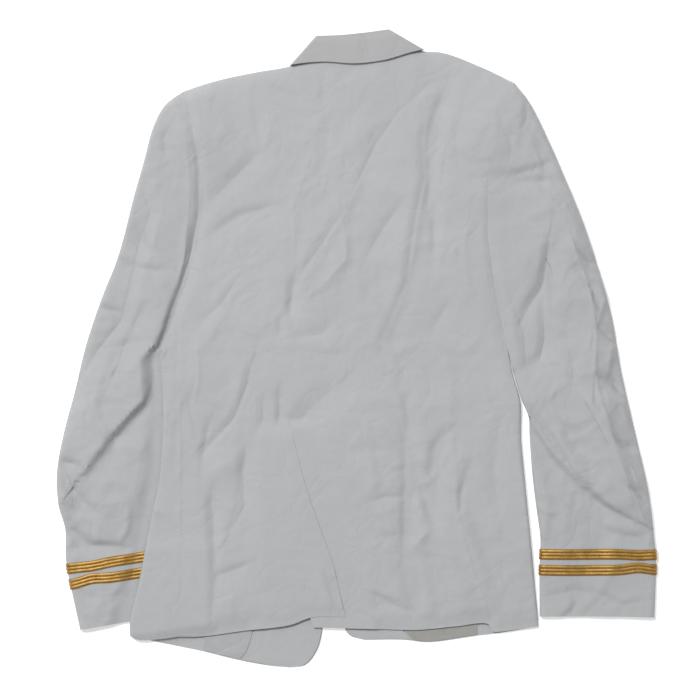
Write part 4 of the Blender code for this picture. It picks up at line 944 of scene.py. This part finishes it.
def laceFinish(name):
    # gold thread wound round each rib: slanted turns on the lace's own flat map
    made, tree, shader, settings, coordinates = newFinish(name)
    split = newNode(tree, "ShaderNodeSeparateXYZ", {0: coordinates["UV"]}).outputs
    turns = 2 * math.pi / (settings["twist"] * mm)
    slant = mathNode(tree, "MULTIPLY", split[1], 1.6 * turns)
    wound = mathNode(tree, "SINE", mathNode(tree, "ADD", mathNode(tree, "MULTIPLY", split[0], turns), slant))
    threeRibs = 3 * math.pi / (settings["width"] * mm)
    ribs = mathNode(tree, "SINE", mathNode(tree, "MULTIPLY", split[1], threeRibs))
    groove = mathNode(tree, "POWER", mathNode(tree, "ABSOLUTE", ribs), 0.6)
    # darker in the grooves between the ribs, lighter on their crests
    grooveTone = mathNode(tree, "MULTIPLY", mathNode(tree, "SUBTRACT", groove, 0.72), 0.42)
    patches = mathNode(tree, "MULTIPLY", noiseNode(tree, coordinates["Object"], 110, 2), 0.45)
    fine = mathNode(tree, "MULTIPLY", noiseNode(tree, coordinates["Object"], 420, 3), 0.6)
    grain = mathNode(tree, "ADD", patches, fine)
    worn = mathNode(tree, "ADD", mathNode(tree, "MULTIPLY", wound, 0.1), grain)
    tone = mathNode(tree, "ADD", worn, grooveTone)
    tree.links.new(shadeNode(tree, tone, settings, 0.15, 0.85), shader["Base Color"])
    tree.links.new(bumpNode(tree, tone, 0.6, 0.0003), shader["Normal"])
    return made


def metalFinish(name):
    made, tree, shader, settings, coordinates = newFinish(name)
    noise = noiseNode(tree, coordinates["Object"], 160, 4)
    polished, dull = [settings["polished"]] * 3, [settings["dull"]] * 3
    tree.links.new(rampNode(tree, noise, polished, dull), shader["Roughness"])
    return made


def threadFinish(name):
    made, tree, shader, _, coordinates = newFinish(name)
    tree.links.new(bumpNode(tree, noiseNode(tree, coordinates["Object"], 900), 0.4, 0.0002), shader["Normal"])
    return made


plainWeave = weaveGroup()
clothNames = ("cloth", "sleeveClothPaintedShade", "collarCloth", "lining", "liningPaintedShade")
finishes = {name: clothFinish(name, plainWeave) for name in clothNames}
finishes["lace"] = laceFinish("lace")
finishes["button"] = metalFinish("button")
finishes.update({name: threadFinish(name) for name in ("thread", "goldThread")})


# Rows of stitches, each a short thread laid along the path of a seam
stitch = {
    "sewn": {"Pitch": 3.2, "Length": 2.3, "Thickness": 0.42, "Wander": 0.05, "Seed": 11},
    "gold": {"Pitch": 2.1, "Length": 1.5, "Thickness": 0.45, "Wander": 0.12, "Seed": 23},
    "fromEdge": 5.5,    # how far in from an edge a row runs
    "lift": 0.08,       # how far a row's middle is above the cloth
    "sides": 8, "rings": 5,
}


def stitchTree():
    tree = bpy.data.node_groups.new("runOfStitches", "GeometryNodeTree")
    given, found = newSockets(tree, (
        ("Path", "Geometry", "INPUT"), ("Pitch", "Float", "INPUT"), ("Length", "Float", "INPUT"),
        ("Thickness", "Float", "INPUT"), ("Wander", "Float", "INPUT"), ("Seed", "Int", "INPUT"),
        ("Finish", "Material", "INPUT"), ("Stitches", "Geometry", "OUTPUT"),
    ))
    line = newNode(tree, "GeometryNodeMeshToCurve", {"Mesh": given["Path"]}).outputs["Curve"]
    spaced = newNode(
        tree, "GeometryNodeResampleCurve", {"Curve": line, "Length": given["Pitch"]}, mode="LENGTH")

    grain = newNode(
        tree, "GeometryNodeMeshUVSphere",
        {"Segments": stitch["sides"], "Rings": stitch["rings"], "Radius": 0.5}).outputs["Mesh"]
    smooth = newNode(tree, "GeometryNodeSetShadeSmooth", {"Geometry": grain}).outputs["Geometry"]
    size = newNode(
        tree, "ShaderNodeCombineXYZ",
        {"X": given["Thickness"], "Y": given["Thickness"], "Z": given["Length"]}).outputs[0]
    tangent = newNode(tree, "GeometryNodeInputTangent").outputs["Tangent"]
    align = newNode(tree, "FunctionNodeAlignRotationToVector", {"Vector": tangent}, axis="Z")
    placed = newNode(tree, "GeometryNodeInstanceOnPoints", {
        "Points": spaced.outputs["Curve"], "Instance": smooth,
        "Rotation": align.outputs["Rotation"], "Scale": size,
    }).outputs["Instances"]

    spread = newNode(tree, "ShaderNodeCombineXYZ", {axis: given["Wander"] for axis in "XYZ"}).outputs[0]
    opposite = newNode(tree, "ShaderNodeVectorMath", operation="SCALE")
    opposite.inputs["Scale"].default_value = -1
    tree.links.new(spread, opposite.inputs[0])
    uneven = newNode(tree, "FunctionNodeRandomValue", data_type="FLOAT_VECTOR")
    tree.links.new(opposite.outputs[0], uneven.inputs["Min"])
    tree.links.new(spread, uneven.inputs["Max"])
    tree.links.new(given["Seed"], uneven.inputs["Seed"])
    turned = newNode(
        tree, "GeometryNodeRotateInstances", {"Instances": placed, "Rotation": uneven.outputs["Value"]})

    real = newNode(tree, "GeometryNodeRealizeInstances", {"Geometry": turned.outputs["Instances"]})
    finish = newNode(
        tree, "GeometryNodeSetMaterial",
        {"Geometry": real.outputs["Geometry"], "Material": given["Finish"]})
    tree.links.new(finish.outputs["Geometry"], found["Stitches"])
    return tree


stitches = stitchTree()


def sew(name, paths, kind, finish, closed=False):
    # paths are rows of points in millimetres; the tree turns them into one mesh of stitches
    points, edges = [], []
    for path in paths:
        first = len(points)
        points += [tuple(point * mm) for point in path]
        edges += [(first + i, first + i + 1) for i in range(len(path) - 1)]
        if closed:
            edges.append((len(points) - 1, first))
    mesh = bpy.data.meshes.new(name + "Path")
    mesh.from_pydata(points, edges, [])
    piece = newObject(name, mesh)
    modifier = piece.modifiers.new("Stitches", "NODES")
    modifier.node_group = stitches
    inputs = {item.name: item.identifier for item in stitches.interface.items_tree if item.in_out == "INPUT"}
    for label, value in stitch[kind].items():
        modifier[inputs[label]] = value * mm if label in ("Pitch", "Length", "Thickness") else value
    modifier[inputs["Finish"]] = finishes[finish]
    evaluated = piece.evaluated_get(bpy.context.evaluated_depsgraph_get())
    sewn = bpy.data.meshes.new_from_object(evaluated)
    sewn.name = name
    piece.modifiers.clear()
    piece.data = sewn
    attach(piece, "root")
    return piece


def edgePath(line, fromEdge, height, first=0.0, last=1.0):
    # a row along an edge, this far to the left of its direction, on the cloth's outer face
    points = readLine(line, first + (last - first) * shares(160))
    way = np.gradient(points, axis=0)
    way /= np.linalg.norm(way, axis=1, keepdims=True)
    points = points + fromEdge * np.stack([-way[:, 1], way[:, 0]], axis=1)
    return np.column_stack([points, height(points[:, 0], points[:, 1]) + stitch["lift"]])


# Back
backCut = {
    "Left": (0.25, 0.74), "Right": (0.31, 0.74), "columns": {"Left": 78, "Right": 98},
    "sinkAtUnderlap": 42, "sinkFade": 20, "sinkBelow": -84, "flapCurve": 7.0, "flapLift": 0.7,
    "ventRow": (0.01, 0.985),    # where the vent's stitches start and end
}


def lappedTop(x, y):
    # the right panel sinks under the left one at the vent
    near = smoothStep((lineX("ventEdge", y) + backCut["sinkAtUnderlap"] - x) / backCut["sinkFade"])
    near = near * smoothStep((backCut["sinkBelow"] - y) / 18)
    return bodyTop(x, y) * (1 - near) + (underlapTop(y) + backCut["flapLift"]) * near


def makeBack():
    seams = ("armholeLeft", "sideSeamLeftWaist", "sideSeamLeftSkirt")
    counts = [int(dense[name][1][-1] / cloth["step"]) for name in seams]
    panels = {}
    for side, top in (("Left", bodyTop), ("Right", lappedTop)):
        outerSide = linesDown((f"armhole{side}", f"sideSeam{side}Waist", f"sideSeam{side}Skirt"), counts)
        centre = linesDown(("centreBackArmhole", "centreBackWaist", "ventEdge"), counts)
        if side == "Right":
            # the flap's edge leaves the vent's top in a short curve
            ends = counts[-1]
            lead = smoothStep(np.arange(1, ends + 1) / backCut["flapCurve"])[:, None]
            centre[-ends:] = (1 - lead) * centre[-ends:] + lead * along("underlap", shares(ends - 1))
        columns = np.tile(shares(backCut["columns"][side]), (sum(counts) + 1, 1))
        plan = coons(
            lambda u, s=side: alongBoth(f"shoulder{s}", f"neck{s}", u),
            lambda u, s=side: along(f"hemBack{s}", u),
            outerSide, centre, columns, rowShares(outerSide),
        )
        panels[side] = panelMesh(f"Back{side}", inset(plan, cloth["seamGap"]), top, "ltr")
    ventRow = edgePath(dense["ventEdge"], -stitch["fromEdge"], bodyTop, *backCut["ventRow"])
    rows = {"Left": [sew("VentStitches", [ventRow], "sewn", "thread")], "Right": []}
    for side, (piece, grid) in panels.items():
        dress(piece, f"back_{side.lower()}")


# Fronts, with the facing and the lining that show inside their hems
frontCut = {
    "front": (0.27, 0.75), "columns": 63, "skirtRows": 50, "armholeRoom": 1.2,
    "armholeShare": 0.84,    # of the armhole, that the front takes
    "Facing": (0.1, 0.12), "Lining": (0.12, 0.13), "walls": {"Lining": 0.5, "Facing": 0.8},
    "insideRows": 20, "insideGap": 1.2,
    "split": {"Left": 3, "Right": 4},    # of seven parts of the hem, that the lining takes
    # the right front's lining takes the darker copy of the lining, which is painted shade
    "linings": {"Left": "lining", "Right": "liningPaintedShade"},
}


def makeFronts():
    for side, support in (("Left", leftFrontSupport), ("Right", frontSupport)):
        names = [f"armhole{side}", f"frontSeam{side}Waist", f"frontSeam{side}Skirt"]
        counts = [int(dense[name][1][-1] / cloth["hiddenStep"]) for name in names[:2]]
        counts.append(frontCut["skirtRows"])
        armhole = along(names[0], frontCut["armholeShare"] * shares(counts[0]))
        outerSide = np.concatenate([armhole, linesDown(names[1:], counts[1:])[1:]])
        innerSide = linesDown((f"roll{side}", f"frontEdge{side}Waist", f"frontEdge{side}Skirt"), counts)
        columns = np.tile(shares(frontCut["columns"]), (sum(counts) + 1, 1))
        plan = coons(
            lambda u, s=side: along(f"shoulder{s}", u), lambda u, s=side: along(f"hemFront{s}", u),
            outerSide, innerSide, columns, rowShares(outerSide),
        )
        plan = inset(plan, cloth["seamGap"])
        plan[:counts[0] + 1, 0, 0] += frontCut["armholeRoom"] * (1 if side == "Left" else -1)

        def top(x, y, held=support):
            # past the back's hem the front shows, and crumples a little
            crumpled = smoothStep((-300 - y) / 40) * 0.5 * np.clip(crumple(x, y), -0.6, 0)
            return held(x, y) + underCrease(x, y) + solidWalls["front"] - 0.3 + crumpled

        piece, grid = panelMesh(f"Front{side}", plan, top, "")
        dress(piece, f"front_{side.lower()}")
        split = frontCut["columns"] * frontCut["split"][side] // 7
        for kind, columnsKept, finish, slot in (
            ("Lining", slice(0, split + 1), frontCut["linings"][side], "lining"),
            ("Facing", slice(split, None), "cloth", "cloth"),
        ):
            block = grid[-frontCut["insideRows"]:, columnsKept].copy()
            block[..., :2] = inset(block[..., :2], frontCut["insideGap"])
            lower, upper = block.copy(), block.copy()
            lower[..., 2] += cloth["layerGap"]
            upper[..., 2] += cloth["layerGap"] + frontCut["walls"][kind]
            inside = wallMesh(f"{kind}{side}", upper, lower, finish)
            dress(inside, f"{kind.lower()}_{side.lower()}")
            if kind == "Facing":
                path = np.concatenate([upper[:-2, -2], upper[-2, -3::-1]]) + (0, 0, stitch["lift"])
                sew(f"FacingStitches{side}", [path], "sewn", "thread")


def shareAt(share, v):
    # a share across may change down the tube
    return share(v) if callable(share) else share


def tubeStrip(samples, side0, side1, v, corners, start, end, low, high, wall, rise=0.0):
    # a strip of a flattened tube; each sample: share across, offset in mm, sine of its turn, edge's sign
    width = np.linalg.norm(side1 - side0, axis=1)
    shareU = np.empty((len(side0), len(samples)))
    for k, (share, offset, _, _) in enumerate(samples):
        shareU[:, k] = shareAt(share, v) + offset / width
    topLeft, topRight, lowLeft, lowRight = corners
    w = v[:, None, None]
    u = shareU[..., None]
    across = (1 - w) * start(shareU) + w * end(shareU)
    down = (1 - u) * side0[:, None, :] + u * side1[:, None, :]
    flat = (1 - w) * ((1 - u) * topLeft + u * topRight) + w * ((1 - u) * lowLeft + u * lowRight)
    plan = across + down - flat
    turn = np.array([s[2] for s in samples], float)
    sign = np.array([s[3] for s in samples], float)
    # keeps the armpit's layers apart
    folded = smoothStep((shareU - 0.78) / 0.18) * (1 - smoothStep(v[:, None] / 0.22))
    base = low(plan[..., 0], plan[..., 1]) + rise * folded
    top = high(plan[..., 0], plan[..., 1])
    z = base + (top - base) * (0.5 + 0.5 * turn)
    inward = (side1 - side0) / width[:, None]
    way = np.zeros(plan.shape[:2] + (3,))
    way[..., :2] = inward[:, None, :] * (np.sqrt(np.clip(1 - turn**2, 0, 1)) * sign)[None, :, None]
    way[..., 2] = -turn[None, :]
    outer = np.concatenate([plan, z[..., None]], axis=-1)
    return outer, outer + wall * way, way


def turnSamples(atSide, startUp, width):
    angles = np.radians(np.linspace(90, -90, 11) if startUp else np.linspace(-90, 90, 11))
    sign = 1 if atSide == 0 else -1
    return [(float(atSide), sign * width * (1 - math.cos(a)), math.sin(a), sign) for a in angles]


def flatSamples(first, last, count, turn, offsets):
    # evenly from one share to another, ends left out; each may be a function of the place down the tube
    def between(t):
        return lambda v: shareAt(first, v) * (1 - t) + shareAt(last, v) * t
    return [(between(t), offsets[0] * (1 - t) + offsets[1] * t, turn, 1) for t in shares(count)[1:-1]]


# Side panels: each wraps from the side seam round the edge to the front seam
sideCut = {"cut": (0.15, 0.47), "edgeRound": 4.5, "armholeRoom": 1.6, "underarmRoom": 0.15, "columns": 16}


def makeSides():
    for side, support in (("Left", leftFrontSupport), ("Right", frontSupport)):
        counts = [int(dense[f"edge{side}{zone}"][1][-1] / cloth["step"]) for zone in ("Waist", "Skirt")]
        edge, seam, front = (
            linesDown((f"{line}{side}Waist", f"{line}{side}Skirt"), counts)
            for line in ("edge", "sideSeam", "frontSeam")
        )
        runs = dense[f"armhole{side}"][1][-1], dense[f"underarm{side}"][1][-1]
        reach = 1 - frontCut["armholeShare"] * runs[0] / sum(runs)
        front[0] = along(f"armhole{side}", frontCut["armholeShare"])
        edgeRound, columns = sideCut["edgeRound"], sideCut["columns"]
        turn = turnSamples(0, True, edgeRound)
        upperSamples = [(1.0, 0.0, 1.0, 1)] + flatSamples(1.0, 0.0, columns, 1.0, (0, edgeRound)) + turn[:6]
        lowerSamples = turn[6:] + flatSamples(0.0, 1.0, columns, -1.0, (edgeRound, 0)) + [(1.0, 0.0, -1.0, 1)]
        strips = [
            tubeStrip(
                samples, edge, sewn, rowShares(edge), (edge[0], sewn[0], edge[-1], sewn[-1]), start,
                lambda u, s=side, h=hem: along(f"hem{h}{s}", u),
                lambda x, y, held=support: held(x, y) + underCrease(x, y), bodyTop, cloth["wall"])
            for samples, sewn, hem, start in (
                (upperSamples, seam, "Side", lambda u, s=side: along(f"underarm{s}", 1 - u)),
                (lowerSamples, front, "Under",
                 lambda u, s=side, r=reach: alongBoth(f"armhole{s}", f"underarm{s}", 1 - r * u)),
            )
        ]
        outer, inner = (np.concatenate([strip[i] for strip in strips], axis=1) for i in (0, 1))
        for face in (outer, inner):
            face[0, len(upperSamples) + 2:, 1] -= sideCut["armholeRoom"]
            face[0, :len(upperSamples), 1] -= sideCut["underarmRoom"]
        drawn = inset(outer[..., :2], cloth["seamGap"]) - outer[..., :2]
        dip = seamDips(outer, "lt")
        dip[:, len(upperSamples):] = 0
        for face in (outer, inner):
            face[..., :2] += drawn
            face[..., 2] -= dip
        piece = wallMesh(f"Side{side}", outer, inner, "cloth")
        dress(piece, f"side_{side.lower()}")


# Sleeves, of an upper and an under piece with seams at the elbow and underneath
sleeveCut = {
    "under": (0.19, 0.62), "upper": (0.24, 0.68), "underSeam": 0.8, "cuffZone": 110.0,
    "armpitRise": {"Left": 1.8, "Right": 0.0},
    "columns": {"underTop": 44, "underLow": 6, "upperLow": 32, "upperTop": 24},
    "elbowSeams": {    # share down the sleeve, share across from its outer edge
        "Left": ((0, 0.2), (0.35, 0.25), (0.6, 0.2), (0.75, 0.1), (1, 0.08)),
        "Right": ((0, 0.22), (0.3, 0.29), (0.5, 0.36), (0.72, 0.18), (0.86, 0.09), (1, 0.08)),
    },
}


def sleeveSamples(side):
    def seam(v):
        return np.interp(v, *zip(*sleeveCut["elbowSeams"][side]))

    low, gap, edge = sleeveCut["underSeam"], cloth["seamGap"], layers["edgeRound"]
    columns = sleeveCut["columns"]
    under = [(seam, gap, 1.0, 1)] + flatSamples(seam, 1.0, columns["underTop"], 1.0, (gap, -edge))
    under += turnSamples(1, True, edge)
    under += flatSamples(1.0, low, columns["underLow"], -1.0, (-edge, gap)) + [(low, gap, -1.0, 1)]
    upper = [(low, -gap, -1.0, 1)] + flatSamples(low, 0.0, columns["upperLow"], -1.0, (-gap, edge))
    upper += turnSamples(0, False, edge)
    upper += flatSamples(0.0, seam, columns["upperTop"], 1.0, (edge, -gap)) + [(seam, -gap, 1.0, 1)]
    return under, upper


def sleeveStrip(side, samples, side0, side1, v):
    outerName, innerName = f"sleeve{side}Outer", f"sleeve{side}Inner"
    corners = [along(outerName, 0.0), along(innerName, 0.0), along(outerName, 1.0), along(innerName, 1.0)]
    cuffLine = along(f"cuff{side}", shares(1))

    def low(x, y):
        # the cuff rests on the lace that runs beneath it
        signed, _ = distanceTo(cuffLine, x, y)
        zone = 1 - smoothStep((np.abs(signed) - sleeveCut["cuffZone"] + 8) / 40)
        return (solidWalls["trim"] + cloth["seamGap"]) * zone + underCrease(x, y)

    return tubeStrip(
        samples, side0, side1, v, corners, lambda u: alongBoth(f"armhole{side}", f"underarm{side}", u),
        lambda u: along(f"cuff{side}", u), low, sleeveTop, cloth["wall"], sleeveCut["armpitRise"][side])


def sleeveEdgeRows(name, count):
    length = dense[name][1][-1]
    zone = sleeveCut["cuffZone"]
    fromCuff = np.linspace(zone, 0, int(zone / cloth["step"]) + 1)
    v = np.concatenate([shares(count)[:-1] * (1 - zone / length), 1 - fromCuff / length])
    return along(name, v), v


def makeSleeves():
    for side in ("Left", "Right"):
        count = int((dense[f"sleeve{side}Outer"][1][-1] - sleeveCut["cuffZone"]) / cloth["step"])
        side0, v = sleeveEdgeRows(f"sleeve{side}Outer", count)
        side1, _ = sleeveEdgeRows(f"sleeve{side}Inner", count)
        for kind, samples in zip(("Under", "Upper"), sleeveSamples(side)):
            outer, inner, way = sleeveStrip(side, samples, side0, side1, v)
            shift = outer[1, :, :2] - outer[0, :, :2]
            shift = cloth["seamGap"] * shift / np.linalg.norm(shift, axis=-1, keepdims=True)
            dip = seamDips(outer, "lrt")[..., None] * way
            for face in (outer, inner):
                face += dip
                face[0, :, :2] += shift
            # the sleeves take the darker copy of the cloth, which is painted shade
            piece = wallMesh(f"Sleeve{side}{kind}", outer, inner, "sleeveClothPaintedShade")
            dress(piece, f"sleeve_{side.lower()}_{kind.lower()}")


# Gold lace round the cuffs
lace = {
    "rows": (("lower", 50.0, 62.5), ("upper", 69.0, 81.5)), "cut": (0.31, 0.0135), "steps": 24,
    "lift": 0.3, "wall": 0.35, "ribs": 0.75, "stitchLift": 0.1,
    "kinkAt": {"Left": -318, "Right": 338}, "kinkWidth": 15, "kink": {"lower": -2.6, "upper": 1.2},
    "wave": {"lower": 0.8, "upper": 0.5}, "waveLength": 34,
}


def ribProfile(t):
    # three broad ribs between narrow grooves
    return np.abs(np.sin(3 * math.pi * t)) ** 0.7


def ringNormals(band):
    around = np.roll(band, -1, axis=1) - np.roll(band, 1, axis=1)
    normal = np.cross(around, (band[-1] - band[0])[None])
    normal /= np.linalg.norm(normal, axis=-1, keepdims=True)
    return normal * np.sign(((band - band.mean(axis=1, keepdims=True)) * normal).sum())


def makeLace():
    for side in ("Left", "Right"):
        under, upper = sleeveSamples(side)
        for label, nearCuff, farCuff in lace["rows"]:
            t = shares(lace["steps"])
            fromCuff = farCuff + (nearCuff - farCuff) * t
            names = f"sleeve{side}Outer", f"sleeve{side}Inner"
            places = [1 - fromCuff / dense[name][1][-1] for name in names]
            side0, side1 = (along(name, v) for name, v in zip(names, places))
            ring, _, _ = sleeveStrip(side, under + upper, side0, side1, places[0])
            down = ring[-1] - ring[0]
            down /= np.linalg.norm(down, axis=-1, keepdims=True)
            spot = np.abs(ring[0, :, 0] - lace["kinkAt"][side]) / lace["kinkWidth"]
            wave = lace["wave"][label] * np.sin(ring[0, :, 0] / lace["waveLength"])
            kink = lace["kink"][label] * np.exp(-(spot**2)) + wave
            ring = ring + (kink[:, None] * down)[None]
            way = ringNormals(ring)
            inner = ring + lace["lift"] * way
            outer = inner + (lace["wall"] + lace["ribs"] * ribProfile(t))[:, None, None] * way
            piece = wallMesh(f"Lace{side}{label.capitalize()}", outer, inner, "lace", ring=True)
            dress(piece, f"lace_{side.lower()}_{label}")
            edgeRows = [outer[row] + lace["stitchLift"] * way[row] for row in (0, -1)]
            held = sew(f"{piece.name}Stitches", edgeRows, "gold", "goldThread", closed=True)


# Collar: the fall shows at the back of the neck, turns over at each side and ends underneath
collarCut = {
    "cut": (0.5, 0.075), "rows": 16, "columns": 64, "turn": 3.5, "lift": 5.4, "rollDrop": 1.8, "rollWidth": 9,
    "crease": ((364, 33), (368, 44), (372, 56)), "leafColumns": 8,
    "stand": (0.115, 0.02), "standLift": 2.5, "standEnds": (0.06, 0.94),
    "standTop": ((-40, 367), (4, 370), (38, 374)),
    "standBottom": ((-58, 349), (-30, 357.5), (4, 361), (36, 364.5), (58, 365)),
    "ends": {
        "left": (((-60, 300), (-52, 262)), ((-92, 306), (-90, 268))),
        "right": (((50, 312), (50, 272)), ((94, 312), (94, 274))),
    },
}


def makeCollar():
    v = shares(collarCut["rows"])
    down = v[:, None]
    ends = zip(*(np.array(planLines[name], float)[[0, -1]] for name in ("collarRoll", "collarLower")))
    fold = [(1 - down) * roll + down * lower for roll, lower in ends]

    def high(x, y):
        signed, _ = distanceTo(planLines["collarRoll"], x, y)
        crease = foldHeight(x, y, [place(px, py) for px, py in collarCut["crease"]], 8, 5, -1.2, True)
        drop = collarCut["rollDrop"] * (1 - smoothStep(np.abs(signed) / collarCut["rollWidth"]))
        return cloth["loft"] + collarCut["lift"] - drop + crease + 0.5 * crumple(x, y)

    samples = turnSamples(0, False, collarCut["turn"])
    samples += flatSamples(0.03, 0.97, collarCut["columns"], 1.0, (0, 0))
    samples += turnSamples(1, True, collarCut["turn"])
    outer, inner, _ = tubeStrip(
        samples, fold[0], fold[1], v, (fold[0][0], fold[1][0], fold[0][-1], fold[1][-1]),
        lambda u: along("collarRoll", u), lambda u: along("collarLower", u),
        lambda x, y: np.zeros(np.shape(x)), high, cloth["wall"])
    outers, inners = {"middle": outer}, {"middle": inner}
    for side, edge in (("left", outer[:, 0]), ("right", outer[:, -1])):
        (midIn, endIn), (midOut, endOut) = (np.array(ends, float) for ends in collarCut["ends"][side])
        middle, end = (
            np.column_stack([(1 - down) * a + down * b, 0 * v]) for a, b in ((midIn, midOut), (endIn, endOut))
        )
        steps = shares(collarCut["leafColumns"])[1:]
        leaf = np.stack([a + (b - a) * t for a, b in ((edge, middle), (middle, end)) for t in steps], axis=1)
        leaf[..., 2] = 0
        outers[side] = leaf[:, ::-1] if side == "left" else leaf
        inners[side] = outers[side] + (0, 0, cloth["wall"])
    parts = ("left", "middle", "right")
    outer, inner = (np.concatenate([faces[part] for part in parts], axis=1) for faces in (outers, inners))
    piece = wallMesh("CollarFall", outer, inner, "collarCloth")
    dress(piece, "collar")
    edgeColumns = 2 * collarCut["leafColumns"] + 2
    row = outer[-3, edgeColumns:-edgeColumns] + (0, 0, stitch["lift"])
    edgeStitches = sew("CollarStitches", [row], "sewn", "thread")

    first, last = collarCut["standEnds"]
    columns = first + (last - first) * shares(40)
    top, bottom = (readLine(denseLine(collarCut[edge]), columns) for edge in ("standTop", "standBottom"))
    plan = np.stack([top + (bottom - top) * t for t in shares(8)])
    height = cloth["loft"] + collarCut["standLift"]
    stand, grid = panelMesh("CollarStand", plan, lambda x, y: np.full(np.shape(x), height), "")
    dress(stand, "collar_stand")


# Lapels, folded back on the fronts underneath
lapelCut = {
    "cut": (0.11, 0.19), "top": 1.05, "rowAt": 0.2, "rows": 40, "columns": 22,
    "left": {"roll": ((-20, 104), (-44, 190), (-60, 256)), "edge": ((-24, 98), (-92, 150), (-112, 236))},
    "right": {"roll": ((-16, 104), (16, 190), (44, 262)), "edge": ((-12, 98), (68, 150), (108, 240))},
}


def makeLapels():
    for side in ("left", "right"):
        lines = (denseLine(lapelCut[side][kind]) for kind in ("roll", "edge"))
        roll, edge = (readLine(line, shares(lapelCut["rows"])) for line in lines)
        plan = np.stack([roll + (edge - roll) * t for t in shares(lapelCut["columns"])], axis=1)
        name = f"Lapel{side.capitalize()}"
        piece, grid = panelMesh(name, plan, lambda x, y: np.full(np.shape(x), lapelCut["top"]), "")
        dress(piece, f"lapel_{side}")
        path = np.concatenate([plan[2:-2, -3], plan[-3, -4:2:-1]])
        row = np.column_stack([path, np.full(len(path), lapelCut["rowAt"])])
        edgeStitches = sew(f"LapelStitches{side.capitalize()}", [row], "sewn", "thread")


# Plain domed buttons on the underside
button = {"count": 4, "radius": 11.0, "top": (-20.0, 25.0), "pitch": 62.0, "sides": 40}
# radius share and height of the button's outline, from the middle of its face round to its shank
buttonOutline = (
    (0.0, 0.0), (0.35, 0.04), (0.66, 0.22), (0.86, 0.5), (0.92, 0.72), (0.98, 0.86), (1.0, 1.05),
    (0.98, 1.26), (0.9, 1.36), (0.3, 1.4), (0.27, 1.7), (0.27, 2.3), (0.0, 2.3),
)


def makeButtons():
    n, rings = button["sides"], buttonOutline[1:-1]
    for order in range(button["count"]):
        midX, midY = button["top"][0], button["top"][1] - order * button["pitch"]
        points, faces = [(midX, midY, buttonOutline[0][1])], []
        for share, z in rings:
            radius = share * button["radius"]
            for a in (2 * math.pi * i / n for i in range(n)):
                points.append((midX + radius * math.cos(a), midY + radius * math.sin(a), z))
        points.append((midX, midY, buttonOutline[-1][1]))
        last = len(points) - 1
        for i in range(n):
            j = (i + 1) % n
            faces.append((0, 1 + j, 1 + i))
            for ring in range(len(rings) - 1):
                a, b = 1 + ring * n, 1 + (ring + 1) * n
                faces.append((a + i, a + j, b + j, b + i))
            faces.append((last, last - n + i, last - n + j))
        mesh = bpy.data.meshes.new(f"Button{order + 1}")
        mesh.from_pydata([tuple(c * mm for c in p) for p in points], [], faces)
        mesh.shade_smooth()
        mesh.set_sharp_from_angle(angle=math.radians(48))
        mesh.materials.append(finishes["button"])
        dress(newObject(mesh.name, mesh), f"button_{order + 1}")


# Stage: a pale floor, soft light from the upper left and a camera straight above
stage = {
    "floor": (0.94, 0.94, 0.94), "floorReach": 3, "glow": 0.4, "sky": 0.31,
    "lightPower": 194.0, "lightSize": 1.2, "lightAt": (-1.8, 2.0, 5.0),
    # the camera's height, the pixel it looks at, the picture's width in pixels, and its sensor
    "distance": 4.0, "middle": (350, 350), "picture": 700, "sensor": 36,
}


def makeStage():
    mesh, reach = bpy.data.meshes.new("Floor"), stage["floorReach"]
    corners = [(-reach, -reach, 0), (reach, -reach, 0), (reach, reach, 0), (-reach, reach, 0)]
    mesh.from_pydata(corners, [], [(0, 1, 2, 3)])
    plain = bpy.data.materials.new("paleFloor")
    plain.use_nodes = True
    shader = plain.node_tree.nodes["Principled BSDF"].inputs
    shader["Base Color"].default_value = (*stage["floor"], 1)
    shader["Roughness"].default_value = 0.9
    shader["Emission Color"].default_value = (1, 1, 1, 1)
    shader["Emission Strength"].default_value = stage["glow"]
    mesh.materials.append(plain)
    newObject("Floor", mesh)

    world = bpy.data.worlds.new("softSky")
    world.use_nodes = True
    background = world.node_tree.nodes["Background"].inputs
    background[0].default_value = (1, 1, 1, 1)
    background[1].default_value = stage["sky"]
    bpy.context.scene.world = world
    data = bpy.data.lights.new("Key", "AREA")
    data.size = stage["lightSize"]
    data.energy = stage["lightPower"]
    light = newObject("Key", data)
    light.location = stage["lightAt"]
    light.rotation_euler = (-Vector(stage["lightAt"])).to_track_quat("-Z", "Y").to_euler()

    midX, midY = place(*stage["middle"])
    data = bpy.data.cameras.new("Camera")
    data.sensor_width = stage["sensor"]
    data.lens = stage["sensor"] * stage["distance"] / (stage["picture"] * photo["pixel"] * mm)
    camera = newObject("Camera", data)
    camera.location = (midX * mm, midY * mm, stage["distance"] + 0.01)
    bpy.context.scene.camera = camera
    bpy.context.scene.view_settings.view_transform = "Standard"


makeStage()
print("stage ready")
makeFronts()
print("fronts, facings and linings ready")
makeBack()
print("back ready")
makeSides()
makeSleeves()
print("sides and sleeves ready")
makeLace()
makeCollar()
makeLapels()
makeButtons()
print("lace, collar, lapels and buttons ready")
